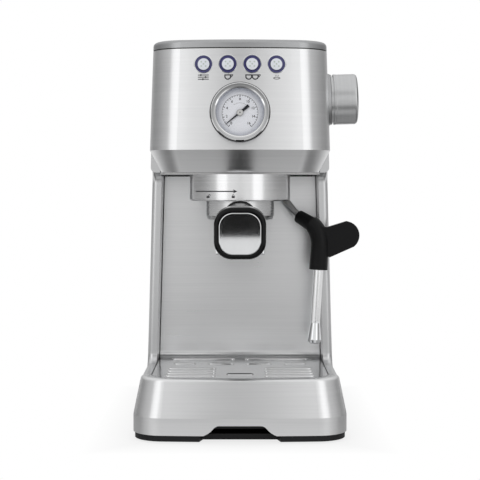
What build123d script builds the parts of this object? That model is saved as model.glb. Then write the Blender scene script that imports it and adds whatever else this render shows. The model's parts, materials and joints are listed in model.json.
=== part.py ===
from build123d import *
import math
import os

# An espresso machine with one group. Millimetres: X to the right, Y to the back, Z up.
# The pieces are drawn about the middle of the base and the group, on the resting plane. They are
# saved about the middle of the whole machine's outline box, with knob and handle.

# Overall: the sizes that the rest follows
base_half = 102.0  # half width at the foot
base_front = -150.0
body_back = 150.0
head_top = 373.0
tray_top = 59.2  # top of the grille and of the side walls beside it

# Feet, base and side walls
foot_rise = 1.5  # rubber below the base pan
foot_radius = 9.0
foot_depth = 2.0  # how far a foot sits in the pan
foot_fit = 0.2
foot_bevel = 0.6
foot_half = base_half - 26.0
foot_front = base_front + 46.0
foot_back = body_back - 26.0
strip_top = 7.0  # top of the black strip round the foot of the base
strip_inset = 1.5
front_lift = 0.3  # the sliding front clears the strip
band_top = 23.6  # crease between the upright band and the slope
wall_half = base_half - 7.0  # half width at the tray's top
lip_front = base_front + 12.0
base_bow = 5.0
tray_bow = 4.0
base_corner = 30.0
lip_corner = 26.0
base_seam = base_front + 42.0  # where the tray front meets the side panels
seam_gap = 0.6
edge_round = 5.0  # outer edges of the side walls and the tray front
rear_round = 6.0

# Side panels and column
side_lean = 1.65  # degrees that the sides lean in
panel_wall = 9.5
panel_skin = 2.5
panel_front = body_back - 136.0  # front of the back panel
wing_front = panel_front - 43.0
cove = 10.0
sheet = 1.5
sheet_gap = 0.8
sheet_cove = 7.0

# Head
head_bottom = head_top - 119.0
crease = head_bottom + 21.3  # lower edge of the upright front
group_y = panel_front - 67.0
head_front = group_y - 58.0
head_seam = head_front + 56.0  # where the head shell meets the side panels
face_lean = 7.0  # degrees that the front leans back
bow_radius = 300.0
head_corner = 35.0
chamfer_in = 11.0
corner_share = 0.7  # how much of the slant the corners' radius takes
shell_wall = 2.0
shell_lap = 5.0  # how far hollows run on past the seams
sheet_top = head_bottom - 3.5
deck_bottom = head_bottom - 2.0
deck_thick = 3.0
deck_gap = 0.5

# Tank, its bay and the lid
bay_front = body_back - 75.5
bay_wall = 1.8
bay_half = wall_half - 18.9
bay_floor = tray_top + 0.8
bay_floor_thick = 2.5
bay_drop = 2.0  # how far the bay's walls end below the head's top
deck_back = bay_front - 12.5
tank_gap = 0.5
tank_wall = 2.2
tank_corner = 12.0
tank_foot_radius = 11.0
tank_foot_depth = 6.0
tank_foot_y = bay_front + 37.5
tank_foot_bore = 6.3
socket_radius = 11.4
socket_wall = 2.0
socket_bottom_z = bay_floor - 8.0
nipple_radius = 3.5
nipple_length = 8.0
lid_start = bay_front + 2.3
lid_gap = 0.3
lid_roll = 4.2  # the lid's back edge is round about its hinge
lid_back_gap = 0.4
lid_bottom = head_top + lid_gap
lid_back = body_back - lid_back_gap
lid_axis_y = lid_back - lid_roll
lid_axis_z = lid_bottom + lid_roll
tank_top = lid_bottom - 3.8
pin_radius = 1.5
pin_fit = 0.08
ear_inner = bay_half - 26.1
ear_width = 4.0
ear_radius = 3.8

# Rim and cup tray
rim_gap = 1.0
rim_height = 7.8
rim_round = 4.0
rim_width = 9.0
rim_floor = 4.2
rim_back = lid_start - 0.8
neck_inset = 2.6
neck_depth = 7.0

# Group and portafilter
collar_radius = 50.3
collar_wall = 2.6
collar_drop = 26.0
collar_bevel = 1.2
group_radius = 44.0
group_neck = 41.0  # above the deck
group_fit = 0.5
group_top = deck_bottom + 10.0
bore_radius = 35.0
ledge_bottom = deck_bottom - 24.0
ledge_top = ledge_bottom + 2.4
lug_root = 34.0
lug_radius = 39.6
lug_bottom = ledge_top + 0.6
lug_height = 5.2
lug_arc = 28.0
lug_play = 0.9
entry_turn = -45.0
ring_bottom = ledge_bottom - 21.6
ring_top = ring_bottom + 32.6
ring_bore = 30.3
ring_floor = 3.5
ring_round = 5.0
basket_radius = 28.0
basket_rim = 32.5
basket_depth = 23.0
basket_sheet = 0.8
basket_seat = 1.2  # depth of the step that takes the basket's rim
seat_gap = 0.3
spout_bottom = ring_bottom - 34.4
spout_half = 19.0
spout_leg = 6.5
spout_round = 1.5
handle_drop = 6.0  # degrees below level
handle_rise = 6.1  # height of the handle's root over the ring's bottom
neck_radius = 8.5
neck_length = 19.0
cuff_radius = 16.4
cuff_length = 5.0
sleeve_start_radius = 15.2
sleeve_length = 94.0
sleeve_end = 42.5
end_ring = 46.0
end_corner = 16.0
end_ring_length = 13.0
end_plate_side = 37.2
end_plate_corner = 12.5
end_plate_thick = 2.2
end_plate_seat = 1.6

# Gauge
gauge_level = head_top - 62.2
bezel_radius = 29.1
bezel_skirt = 28.2
bezel_opening = 23.0
dial_radius = 26.8
lens_radius = 26.0
needle_reach = 17.6
needle_tail = 10.7
needle_rest = 219.4  # degrees, measured from the right
case_depth = 24.0

# Buttons
button_level = head_top - 15.2
button_pitch = 23.5
button_radius = 9.2
bezel_land = 8.2
cap_radius = 6.3
cap_gap = 0.3
cap_edge = 1.6
cap_crown = 1.0
button_travel = 1.5
switch_gap = 0.3
stem_length = 12.0
stem_radius = 2.4

# Steam knob and valve
knob_level = head_top - 44.0
knob_y = panel_front - 29.0
knob_radius = 25.6
knob_start = 5.6
knob_length = 27.0
knob_crown = 1.4
collar_height = 5.2
spindle_radius = 4.0
spindle_fit = 0.08
valve_neck = 7.0
valve_radius = 12.0
valve_depth = 34.0
valve_bore = 16.0
valve_fit = 0.15

# Steam wand: centre line points, from the ball to the end of the tube
ball_x = 40.0
ball_y = panel_front - 18.0
ball_z = deck_bottom - 6.0
ball_radius = 8.0
ball_fit = 0.3
swivel_radius = 10.0
swivel_drop = 4.6
tube_radius = 5.0
wand_front = 38.5  # how far the lower tube stands in front of the ball
wand_side = base_half - 60.8  # how far it stands to the ball's right
wand_foot = tray_top + 44.8
wand_route = [
    (ball_x, ball_y, ball_z),
    (ball_x + 1, ball_y - 1, ball_z - 14),
    (ball_x + 16, ball_y - 18, ball_z - 34),
    (ball_x + wand_side - 7.2, ball_y - wand_front + 4, ball_z - 45),
    (ball_x + wand_side, ball_y - wand_front, ball_z - 58),
    (ball_x + wand_side - 4.8, ball_y - wand_front, wand_foot),
]
wand_bends = [15, 30, 15, 15]
tip_length = 23.0
tip_radius = 7.1

# Inner pipework and fixings
hose_radius = 3.5
hose_x = -38.0
hose_z = 22.0
hose_hole = 12.0  # in the deck
pump_y = bay_front - 28.5
pipe_radius = 2.5
gland_x = bay_half - 16.1
gland_z = 30.0
screw_shank = 1.5
screw_head = 3.4
screw_half = bay_half - 2.1
screw_spots = [(x, z) for x in (-screw_half, screw_half) for z in (18, 50)]

os.makedirs("parts", exist_ok=True)
lean = math.radians(side_lean)


def side_half(level):
    # Half width of the machine over its side panels at a height.
    return wall_half - (level - tray_top) * math.tan(lean)


def inner_half(level):
    return side_half(level) - panel_wall


def face_y(level):
    # Middle of the leaning front at a height.
    return head_front + (level - crease) * math.tan(math.radians(face_lean))


def bow_depth(half):
    return bow_radius - math.sqrt(bow_radius**2 - half**2)


def side_face(inset, sign=1):
    # The leaning plane of the right side (sign 1) or the left one (-1), moved in by inset.
    return Plane(
        origin=(sign * (wall_half - inset), 0, tray_top),
        x_dir=(0, sign, 0),
        z_dir=(sign * math.cos(lean), 0, math.sin(lean)),
    )


def trim_between_sides(inset):
    for sign in (1, -1):
        split(bisect_by=side_face(inset, sign), keep=Keep.BOTTOM)


def front_outline(level, half, front, back, bow, corner):
    # A plan outline: straight sides, a bowed front and rounded front corners.
    with BuildSketch(Plane.XY.offset(level)) as outline:
        with BuildLine():
            ThreePointArc((-half, front + bow), (0, front), (half, front + bow))
            Polyline((half, front + bow), (half, back), (-half, back), (-half, front + bow))
        make_face()
        fillet(outline.vertices().group_by(Axis.Y)[0], radius=corner)
    return outline.sketch


def base_outline(level, inset=0.0, back=base_seam - seam_gap):
    # The base's outline at a height: upright up to the crease, then sloping in to the lip.
    rise = max(0.0, (level - band_top) / (tray_top - band_top))
    half = base_half + (wall_half - base_half) * rise - inset
    front = base_front + (lip_front - base_front) * rise + inset
    corner = base_corner + (lip_corner - base_corner) * rise - inset
    return front_outline(level, half, front, back, base_bow, corner)


def head_outline(level, inset=0.0, back=head_seam - seam_gap):
    # The head's outline at a height: a slanted lower edge, then the leaning front.
    drawn_in = chamfer_in * max(0.0, (crease - level) / (crease - head_bottom))
    base_level = max(level, crease)
    half = side_half(base_level) - drawn_in - inset
    front = face_y(base_level) + drawn_in + inset
    corner = head_corner - drawn_in * corner_share - inset
    return front_outline(level, half, front, back, bow_depth(half), corner)


def face_seat(x, level):
    # A plane on the bowed, leaning front, its normal pointing out of the machine.
    turn = math.asin(x / bow_radius)
    tip = math.radians(face_lean)
    normal = (math.sin(turn) * math.cos(tip), -math.cos(turn) * math.cos(tip), math.sin(tip))
    return Plane(
        origin=(x, face_y(level) + bow_depth(x), level),
        x_dir=(math.cos(turn), math.sin(turn), 0),
        z_dir=normal,
    )


def turning_plane(seat):
    # A plane for half profiles: its X is the radius and its Y runs along the seat's normal.
    return Plane(origin=seat.origin, x_dir=seat.x_dir, z_dir=seat.y_dir * -1)


def half_profile(seat, *points):
    with BuildSketch(turning_plane(seat)) as profile:
        with BuildLine():
            Polyline(*points, close=True)
        make_face()
    return profile.sketch


def turn(seat, *points):
    # Revolves a half profile, given as radius and height, about the seat's normal.
    revolve(half_profile(seat, *points), axis=Axis(seat.origin, seat.z_dir))


def dome_height(radius, width, rise):
    # Height of a spherical dome of a width and a rise, at a radius from its middle.
    sphere = (width**2 + rise**2) / (2 * rise)
    return math.sqrt(sphere**2 - radius**2) - sphere + rise


def upright(x, y, level):
    return Plane(origin=(x, y, level), x_dir=(1, 0, 0), z_dir=(0, 0, 1))


knob_seat = Plane(
    origin=(side_half(knob_level), knob_y, knob_level),
    x_dir=(0, 1, 0),
    z_dir=(math.cos(lean), 0, math.sin(lean)),
)
handle_seat = Plane(
    origin=(0, group_y - lug_root + 1, ring_bottom + handle_rise),
    x_dir=(1, 0, 0),
    z_dir=(0, -math.cos(math.radians(handle_drop)), -math.sin(math.radians(handle_drop))),
)
handle_length = neck_length + cuff_length + sleeve_length + end_ring_length
knob_reach = (knob_seat.origin + knob_seat.z_dir * (knob_start + knob_length + knob_crown)).X
handle_tip = handle_seat.origin + handle_seat.z_dir * handle_length + handle_seat.y_dir * end_ring / 2
handle_reach = handle_tip.Y
saved_frame = Location((-(knob_reach - base_half) / 2, -(body_back + handle_reach) / 2, 0))


def save(piece, name):
    placed = piece.part.moved(saved_frame)
    placed.label = name
    export_step(placed, f"parts/{name}.step")


# Base pan: a floor with the black strip as its edge, cut back at the finger recess
recess_half = 35.0
recess_flat = 19.0
recess_top = 16.8
recess_back = lip_front + 2.1
recess_splay = 5.0
pan_top = strip_top
rail_height = 4.4
rail_half = wall_half - 29.0
rail_width = 7.0
rail_length = 100.0
rail_corner = 2.0
rail_y = base_seam + 63.0
tray_play = 0.4
foot_spots = [(x, y) for x in (-foot_half, foot_half) for y in (foot_front, foot_back)]

with BuildPart() as base_pan:
    with BuildSketch(Plane.XY.offset(foot_rise)):
        add(front_outline(
            0,
            base_half - strip_inset,
            base_front + strip_inset,
            body_back - strip_inset,
            base_bow,
            base_corner - strip_inset,
        ))
        with BuildLine():
            Polyline(
                (-recess_half - recess_splay, base_front - recess_splay),
                (-recess_half, recess_back),
                (recess_half, recess_back),
                (recess_half + recess_splay, base_front - recess_splay),
                close=True,
            )
        make_face(mode=Mode.SUBTRACT)
    extrude(amount=pan_top - foot_rise)
    fillet(base_pan.edges().filter_by(Axis.Z).group_by(Axis.Y)[-1], radius=rear_round)
    with BuildSketch(Plane.XY.offset(foot_rise)):
        with Locations(*foot_spots):
            Circle(foot_radius + foot_fit)
    extrude(amount=foot_depth, mode=Mode.SUBTRACT)
    with BuildSketch(Plane.XY.offset(pan_top)):
        with Locations((-rail_half, rail_y), (rail_half, rail_y)):
            RectangleRounded(rail_width, rail_length, rail_corner)
    extrude(amount=rail_height)
save(base_pan, "base_pan")

with BuildPart() as rubber_feet:
    with BuildSketch():
        with Locations(*foot_spots):
            Circle(foot_radius)
    extrude(amount=foot_rise + foot_depth)
    chamfer(rubber_feet.edges().group_by(Axis.Z)[0], length=foot_bevel)
save(rubber_feet, "rubber_feet")

# Side panels: C-shaped housings with a flared foot; the right one carries the steam valve
flare_top = tray_top - edge_round - 0.4
core_x = base_half - 42.0
column_front = panel_front + 6.0  # front and back of the hollow in the column
column_back = bay_front - 6.5
arm_front = head_seam + 1.0  # front and back of the hollow in the upper arm
arm_back = column_front + 4.0
arm_floor = head_bottom - tray_top + 11.2
hollow_top = head_top - tray_top - 13.8
hollow_foot = strip_top - tray_top + 22.2

with BuildPart() as panel_form:
    with BuildSketch(Plane.YZ.offset(core_x)) as side_view:
        with BuildLine():
            Polyline(
                (base_seam, strip_top),
                (base_seam, tray_top),
                (wing_front, tray_top),
                (wing_front, head_bottom),
                (head_seam, head_bottom),
                (head_seam, head_top),
                (body_back, head_top),
                (body_back, strip_top),
                close=True,
            )
        make_face()
        mouth_corners = side_view.vertices().filter_by_position(Axis.X, wing_front, wing_front)
        fillet(mouth_corners, radius=cove)
    extrude(amount=base_half - core_x + panel_wall)
    split(bisect_by=side_face(0), keep=Keep.BOTTOM)
    outer_edges = panel_form.faces().sort_by(Axis.X)[-1].edges()
    mouth_edges = outer_edges.filter_by_position(Axis.Y, base_seam, wing_front + cove / 20)
    mouth_edges = mouth_edges.filter_by_position(Axis.Z, tray_top - cove / 20, head_bottom + cove / 20)
    fillet(mouth_edges, radius=edge_round)
    with BuildSketch(Plane.XZ.offset(-base_seam)):
        with BuildLine():
            Polyline(
                (core_x, strip_top),
                (base_half, strip_top),
                (base_half, band_top),
                (side_half(flare_top), flare_top),
                (core_x, flare_top),
                close=True,
            )
        make_face()
    extrude(amount=base_seam - body_back)
    rear_edges = panel_form.faces().sort_by(Axis.Y)[-1].edges()
    fillet(rear_edges.filter_by(lambda edge: edge.center().X > wall_half - panel_wall), radius=rear_round)
    split(bisect_by=side_face(panel_wall), keep=Keep.TOP)
    with BuildSketch(side_face(panel_skin)):
        with BuildLine():
            Polyline(
                (column_front, hollow_foot),
                (column_front, hollow_top),
                (column_back, hollow_top),
                (column_back, hollow_foot),
                close=True,
            )
        make_face()
        with BuildLine():
            Polyline(
                (arm_front, arm_floor),
                (arm_front, hollow_top),
                (arm_back, hollow_top),
                (arm_back, arm_floor),
                close=True,
            )
        make_face()
    extrude(amount=-(base_half - core_x), mode=Mode.SUBTRACT)

with BuildPart() as side_panel_right:
    add(panel_form.part)
    with BuildSketch(knob_seat):
        Circle(valve_neck + valve_fit)
    extrude(amount=-panel_wall, mode=Mode.SUBTRACT)
save(side_panel_right, "side_panel_right")

with BuildPart() as side_panel_left:
    mirror(panel_form.part, about=Plane.YZ)
save(side_panel_left, "side_panel_left")

# Tray front: sloping steel front, with a flat top frame round the grille
front_wall = 2.5
front_lap = 5.0  # how far the hollow runs on past the seam
front_round = 4.0
grille_half = wall_half - 10.4
grille_front = lip_front + 3.9
grille_back = sheet_gap + panel_front - sheet_cove - sheet
grille_thick = 1.6
grille_gap = 0.5
grille_corner = 24.0
cap_thick = 3.0
recess_end = -0.4  # slope at the ends of the recess's S-curves


def recess_profile():
    # The finger recess: a flat top that runs out at both sides in S-curves.
    middle = (recess_half + recess_flat) / 2
    half_height = (recess_top + strip_top) / 2
    with BuildSketch(Plane.XZ.offset(-base_front + recess_splay)) as profile:
        with BuildLine():
            Line((-recess_flat, recess_top), (recess_flat, recess_top))
            Spline(
                (recess_flat, recess_top),
                (middle, half_height),
                (recess_half, strip_top),
                tangents=((1, 0), (1, recess_end)),
            )
            Polyline((recess_half, strip_top), (recess_half, 0), (-recess_half, 0), (-recess_half, strip_top))
            Spline(
                (-recess_half, strip_top),
                (-middle, half_height),
                (-recess_flat, recess_top),
                tangents=((1, -recess_end), (1, 0)),
            )
        make_face()
    return profile.sketch


with BuildPart() as tray_front:
    loft(sections=[base_outline(level) for level in (strip_top + front_lift, band_top)], ruled=True)
    loft(sections=[base_outline(level) for level in (band_top, tray_top)], ruled=True)
    rim_edges = tray_front.faces().sort_by(Axis.Z)[-1].edges()
    rim_edges = rim_edges.sort_by(Axis.Y)[:-1]
    fillet(rim_edges, radius=front_round)
    inner_back = base_seam + front_lap
    loft(
        sections=[base_outline(level, front_wall, inner_back) for level in (strip_top - 1, band_top)],
        ruled=True,
        mode=Mode.SUBTRACT,
    )
    loft(
        sections=[
            base_outline(band_top, front_wall, inner_back),
            base_outline(tray_top - cap_thick, front_wall, inner_back),
        ],
        ruled=True,
        mode=Mode.SUBTRACT,
    )
    extrude(
        front_outline(
            tray_top - cap_thick - 1,
            grille_half + grille_gap,
            grille_front - grille_gap,
            inner_back,
            tray_bow,
            grille_corner,
        ),
        amount=cap_thick + 2,
        mode=Mode.SUBTRACT,
    )
    extrude(recess_profile(), amount=base_front - recess_back - recess_splay, mode=Mode.SUBTRACT)
save(tray_front, "tray_front")

# Drip tray: an open black tray behind the front
tray_gap = 0.3
tray_bottom = pan_top + rail_height + tray_play
tray_front_y = lip_front + 1.9
tray_lip_y = grille_front - grille_gap + tray_gap
tray_half = grille_half - tray_gap
tray_wall = 2.5
tray_rim = tray_top - grille_thick - 0.2
tray_back = grille_back - grille_gap

with BuildPart() as drip_tray:
    extrude(
        front_outline(tray_bottom, tray_half, tray_front_y, tray_back, tray_bow, grille_corner),
        amount=tray_top - cap_thick - tray_bottom,
    )
    extrude(
        front_outline(tray_top - cap_thick, tray_half, tray_lip_y, tray_back, tray_bow, grille_corner),
        amount=tray_rim - tray_top + cap_thick,
    )
    extrude(
        front_outline(
            tray_bottom + tray_wall,
            tray_half - tray_wall,
            tray_front_y + tray_wall,
            tray_back - tray_wall,
            tray_bow,
            grille_corner - tray_wall,
        ),
        amount=tray_rim - tray_bottom,
        mode=Mode.SUBTRACT,
    )
save(drip_tray, "drip_tray")

# Drip grille: a slotted plate
slot_width = 5.0
slot_pitch = 16.2
slot_rows = 4
slot_start = grille_front + 15.6
slot_inner = 24.5
slot_outer = grille_half - 14.6
finger_slot_y = grille_front + 26.6
finger_slot = (25.0, 6.0)
middle_slot_y = grille_back - 42.3
outer_slot_x = slot_outer - 14.0
outer_slot = 20.0
inner_slot_x = 19.0
inner_slot = 24.0
rear_slot_y = grille_back - 9.8
rear_slot_x = slot_outer - 31.5
rear_slot = 64.0

slot_lip = 0.8  # width of the pressed lip round each slot
slot_lip_height = 0.5


def grille_slots(margin):
    # Every slot of the grille, larger all round by a margin.
    first_length = slot_outer - slot_inner
    first_middle = (slot_outer + slot_inner) / 2
    row_spots = [(first_middle, slot_start + slot_pitch * row, first_length) for row in range(slot_rows)]
    rear_spots = [
        (rear_slot_x, rear_slot_y, rear_slot),
        (outer_slot_x, middle_slot_y, outer_slot),
        (inner_slot_x, middle_slot_y, inner_slot),
    ]
    with BuildSketch() as slots:
        for x, y, length in row_spots + rear_spots:
            with Locations((-x, y), (x, y)):
                SlotOverall(length + 2 * margin, slot_width + 2 * margin)
        with Locations((0, finger_slot_y)):
            SlotOverall(finger_slot[0] + 2 * margin, finger_slot[1] + 2 * margin)
    return slots.sketch


with BuildPart() as drip_grille:
    with BuildSketch(Plane.XY.offset(tray_top - grille_thick)):
        add(front_outline(0, grille_half, grille_front, grille_back, tray_bow, grille_corner - grille_gap))
    extrude(amount=grille_thick)
    with BuildSketch(Plane.XY.offset(tray_top)):
        add(grille_slots(slot_lip))
    extrude(amount=slot_lip_height)
    with BuildSketch(Plane.XY.offset(tray_top + slot_lip_height)):
        add(grille_slots(0))
    extrude(amount=-grille_thick - slot_lip_height, mode=Mode.SUBTRACT)
save(drip_grille, "drip_grille")

# Back panel: a sheet between the side panels with a cove at its foot
sheet_foot = tray_top - sheet

with BuildPart() as back_panel:
    with BuildSketch(Plane.YZ.offset(-wall_half)):
        with BuildLine():
            Polyline(
                (panel_front, sheet_foot + sheet + sheet_cove),
                (panel_front, sheet_top),
                (panel_front + sheet, sheet_top),
                (panel_front + sheet, sheet_foot + sheet + sheet_cove),
            )
            RadiusArc(
                (panel_front + sheet, sheet_foot + sheet + sheet_cove),
                (panel_front - sheet_cove, sheet_foot),
                sheet_cove + sheet,
            )
            Line((panel_front - sheet_cove, sheet_foot), (panel_front - sheet_cove, sheet_foot + sheet))
            RadiusArc(
                (panel_front - sheet_cove, sheet_foot + sheet),
                (panel_front, sheet_foot + sheet + sheet_cove),
                -sheet_cove,
            )
        make_face()
    extrude(amount=2 * wall_half)
    trim_between_sides(panel_wall + sheet_gap)
save(back_panel, "back_panel")

# Head shell: a bowed steel front, open above and below, with seats for gauge and buttons
gauge_seat = face_seat(0, gauge_level)
button_seats = [face_seat(button_pitch * step, button_level) for step in (-1.5, -0.5, 0.5, 1.5)]
button_hole = bezel_land + 0.6
gauge_hole = bezel_skirt + 0.2

with BuildPart() as head_shell:
    shell_back = head_seam + shell_lap
    loft(sections=[head_outline(head_bottom), head_outline(crease)], ruled=True)
    loft(sections=[head_outline(crease), head_outline(head_top)], ruled=True)
    hollow_levels = [head_outline(level, shell_wall, shell_back) for level in (head_bottom, crease, head_top)]
    loft(sections=hollow_levels[:2], ruled=True, mode=Mode.SUBTRACT)
    loft(sections=hollow_levels[1:], ruled=True, mode=Mode.SUBTRACT)
    with BuildSketch(gauge_seat):
        Circle(gauge_hole)
    extrude(amount=shell_lap * 2, both=True, mode=Mode.SUBTRACT)
    with BuildSketch(*button_seats):
        Circle(button_hole)
    extrude(amount=shell_lap, both=True, mode=Mode.SUBTRACT)
save(head_shell, "head_shell")

# Deck under the head, with the holes for the group and the steam wand
with BuildPart() as head_underside:
    deck_half = inner_half(deck_bottom + deck_thick) + panel_wall
    with BuildSketch(Plane.XY.offset(deck_bottom)):
        deck_front = head_outline(head_bottom, shell_wall + deck_gap, wing_front)
        add(deck_front.moved(Location((0, 0, -head_bottom))))
        with Locations((0, head_seam + deck_gap)):
            Rectangle(2 * deck_half, deck_back - head_seam - deck_gap, align=(Align.CENTER, Align.MIN))
        with Locations((0, group_y)):
            Circle(group_neck + group_fit, mode=Mode.SUBTRACT)
        with Locations((ball_x, ball_y)):
            Circle(swivel_radius + ball_fit, mode=Mode.SUBTRACT)
        with Locations((hose_x, pump_y)):
            Circle(hose_hole, mode=Mode.SUBTRACT)
    extrude(amount=deck_thick)
    trim_between_sides(panel_wall + deck_gap)
save(head_underside, "head_underside")

# Rim round the top, and the cup plate in it
rim_bottom = head_top + rim_gap
rim_top = rim_bottom + rim_height


def rim_outline(level, inset=0.0):
    half = side_half(level) - inset
    front = face_y(level) + inset
    return front_outline(level, half, front, rim_back - inset, bow_depth(half), head_corner - inset)


with BuildPart() as top_rim:
    loft(sections=[rim_outline(rim_bottom), rim_outline(rim_top)], ruled=True)
    top_edges = top_rim.faces().sort_by(Axis.Z)[-1].edges().sort_by(Axis.Y)[:-1]
    fillet(top_edges, radius=rim_round)
    neck = rim_outline(rim_bottom, neck_inset + panel_wall)
    extrude(neck, amount=-neck_depth)
    neck_hollow = rim_outline(rim_bottom, rim_width + panel_wall)
    extrude(neck_hollow, amount=-neck_depth - 1, both=True, mode=Mode.SUBTRACT)
    extrude(
        rim_outline(rim_bottom, rim_width).moved(Location((0, 0, rim_floor))),
        amount=rim_height,
        mode=Mode.SUBTRACT,
    )
save(top_rim, "top_rim")

plate_thick = 1.4
plate_gap = 0.5
plate_slot = (20.0, 4.0)
plate_pitch = (30.0, 13.0)
plate_rows = 9
plate_middle = (face_y(rim_bottom) + rim_back) / 2
with BuildPart() as cup_tray:
    with BuildSketch(Plane.XY.offset(rim_bottom + rim_floor)):
        add(rim_outline(rim_bottom, rim_width + plate_gap).moved(Location((0, 0, -rim_bottom))))
        with Locations((0, plate_middle)):
            with GridLocations(*plate_pitch, 4, plate_rows):
                SlotOverall(*plate_slot, mode=Mode.SUBTRACT)
    extrude(amount=plate_thick)
save(cup_tray, "cup_tray")

# Group: collar, head with a bayonet, gasket and shower
group_axis = upright(0, group_y, 0)
collar_bottom = deck_bottom - collar_drop

with BuildPart() as group_collar:
    inner = collar_radius - collar_wall
    turn(
        group_axis,
        (inner, deck_bottom),
        (collar_radius, deck_bottom),
        (collar_radius, collar_bottom + collar_bevel),
        (collar_radius - collar_bevel, collar_bottom),
        (inner, collar_bottom),
    )
save(group_collar, "group_collar")

lug_top = lug_bottom + lug_height
groove_top = lug_top + lug_play
gasket_inner = 28.6
gasket_outer = 33.6
gasket_height = 6.0
gasket_bottom = ring_top + seat_gap
gasket_top = gasket_bottom + gasket_height
gasket_fit = 0.2
entry_play = 3.0  # degrees of play for a lug in its entry
overcut = 2.0

with BuildPart() as group_head:
    turn(
        group_axis,
        (0, gasket_top),
        (gasket_outer + gasket_fit, gasket_top),
        (gasket_outer + gasket_fit, gasket_bottom + seat_gap),
        (bore_radius, gasket_bottom + seat_gap),
        (bore_radius, groove_top),
        (lug_radius + lug_play, groove_top),
        (lug_radius + lug_play, ledge_top),
        (bore_radius, ledge_top),
        (bore_radius, ledge_bottom),
        (group_radius, ledge_bottom),
        (group_radius, deck_bottom),
        (group_neck, deck_bottom),
        (group_neck, group_top),
        (0, group_top),
    )
    with BuildSketch(upright(0, group_y, ledge_bottom)):
        for step in range(3):
            middle = -90 + entry_turn + 120 * step
            half = lug_arc / 2 + entry_play
            with BuildLine():
                start = PolarLine((0, 0), lug_radius + lug_play + overcut, middle - half)
                end = PolarLine((0, 0), lug_radius + lug_play + overcut, middle + half)
                Line(start @ 1, end @ 1)
            make_face()
        Circle(bore_radius - 1, mode=Mode.SUBTRACT)
    extrude(amount=ledge_top - ledge_bottom, mode=Mode.SUBTRACT)
save(group_head, "group_head")

with BuildPart() as group_gasket:
    turn(
        group_axis,
        (gasket_inner, gasket_bottom),
        (gasket_outer, gasket_bottom),
        (gasket_outer, gasket_top),
        (gasket_inner, gasket_top),
    )
save(group_gasket, "group_gasket")

screen_level = ring_top + 1.6
screen_radius = gasket_inner - 0.6
screen_sheet = 1.0
screen_holes = ((8, 8), (14, 12), (20, 18))  # radius of each ring of holes and how many it has
screen_hole_radius = 0.9
shower_shank = 3.0
shower_head = 5.4
shower_head_height = 1.6
screen_bore = shower_shank + 0.2
with BuildPart() as shower_screen:
    turn(
        group_axis,
        (screen_bore, screen_level),
        (screen_radius, screen_level),
        (screen_radius, gasket_top),
        (screen_radius - screen_sheet, gasket_top),
        (screen_radius - screen_sheet, screen_level + screen_sheet),
        (screen_bore, screen_level + screen_sheet),
    )
    with BuildSketch(upright(0, group_y, screen_level)):
        for radius, count in screen_holes:
            with PolarLocations(radius, count):
                Circle(screen_hole_radius)
    extrude(amount=screen_sheet, mode=Mode.SUBTRACT)
save(shower_screen, "shower_screen")

with BuildPart() as shower_screw:
    turn(
        group_axis,
        (0, screen_level - shower_head_height),
        (shower_head - 1.2, screen_level - shower_head_height),
        (shower_head, screen_level),
        (shower_shank, screen_level),
        (shower_shank, gasket_top),
        (0, gasket_top),
    )
save(shower_screw, "shower_screw")

# Portafilter
outlet_radius = 4.0
with BuildPart() as portafilter_body:
    turn(
        group_axis,
        (0, ring_bottom),
        (lug_root - ring_round, ring_bottom),
        (lug_root - ring_round * 0.3, ring_bottom + ring_round * 0.25),
        (lug_root, ring_bottom + ring_round),
        (lug_root, ring_top),
        (basket_rim + seat_gap, ring_top),
        (basket_rim + seat_gap, ring_top - basket_seat),
        (ring_bore, ring_top - basket_seat),
        (ring_bore, ring_bottom + ring_floor + ring_round),
        (ring_bore - ring_round, ring_bottom + ring_floor),
        (0, ring_bottom + ring_floor),
    )
    with BuildSketch(upright(0, group_y, lug_bottom)):
        for step in range(3):
            middle = -90 + 120 * step
            with BuildLine():
                start = PolarLine((0, 0), lug_radius + overcut, middle - lug_arc / 2)
                end = PolarLine((0, 0), lug_radius + overcut, middle + lug_arc / 2)
                Line(start @ 1, end @ 1)
            make_face()
        Circle(ring_bore + 1, mode=Mode.SUBTRACT)
        Circle(lug_radius, mode=Mode.INTERSECT)
    extrude(amount=lug_height)
    with BuildSketch(handle_seat):
        Circle(neck_radius)
    extrude(amount=neck_length)
    with BuildSketch(upright(0, group_y, ring_bottom)):
        Circle(outlet_radius)
    extrude(amount=ring_floor, mode=Mode.SUBTRACT)
save(portafilter_body, "portafilter_body")

basket_bevel = 3.0
basket_foot = ring_top - basket_depth
basket_lip = ring_top - basket_seat
with BuildPart() as filter_basket:
    turn(
        group_axis,
        (0, basket_foot),
        (basket_radius - basket_bevel, basket_foot),
        (basket_radius, basket_foot + basket_bevel),
        (basket_radius, basket_lip),
        (basket_rim, basket_lip),
        (basket_rim, basket_lip + basket_sheet),
        (basket_radius - basket_sheet, basket_lip + basket_sheet),
        (basket_radius - basket_sheet, basket_foot + basket_bevel + basket_sheet / 2),
        (basket_radius - basket_bevel - basket_sheet / 2, basket_foot + basket_sheet),
        (0, basket_foot + basket_sheet),
    )
save(filter_basket, "filter_basket")

spout_depth = 7.0  # half its depth
spout_neck = 7.0
spout_taper = 1.0
spout_bore = 3.6
leg_outer = spout_half + spout_leg
leg_inner = spout_half - spout_leg
neck_foot = ring_bottom - 6
shoulder = ring_bottom - 10
leg_top = ring_bottom - 19
arch_foot = ring_bottom - 22
arch_top = ring_bottom - 16

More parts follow.
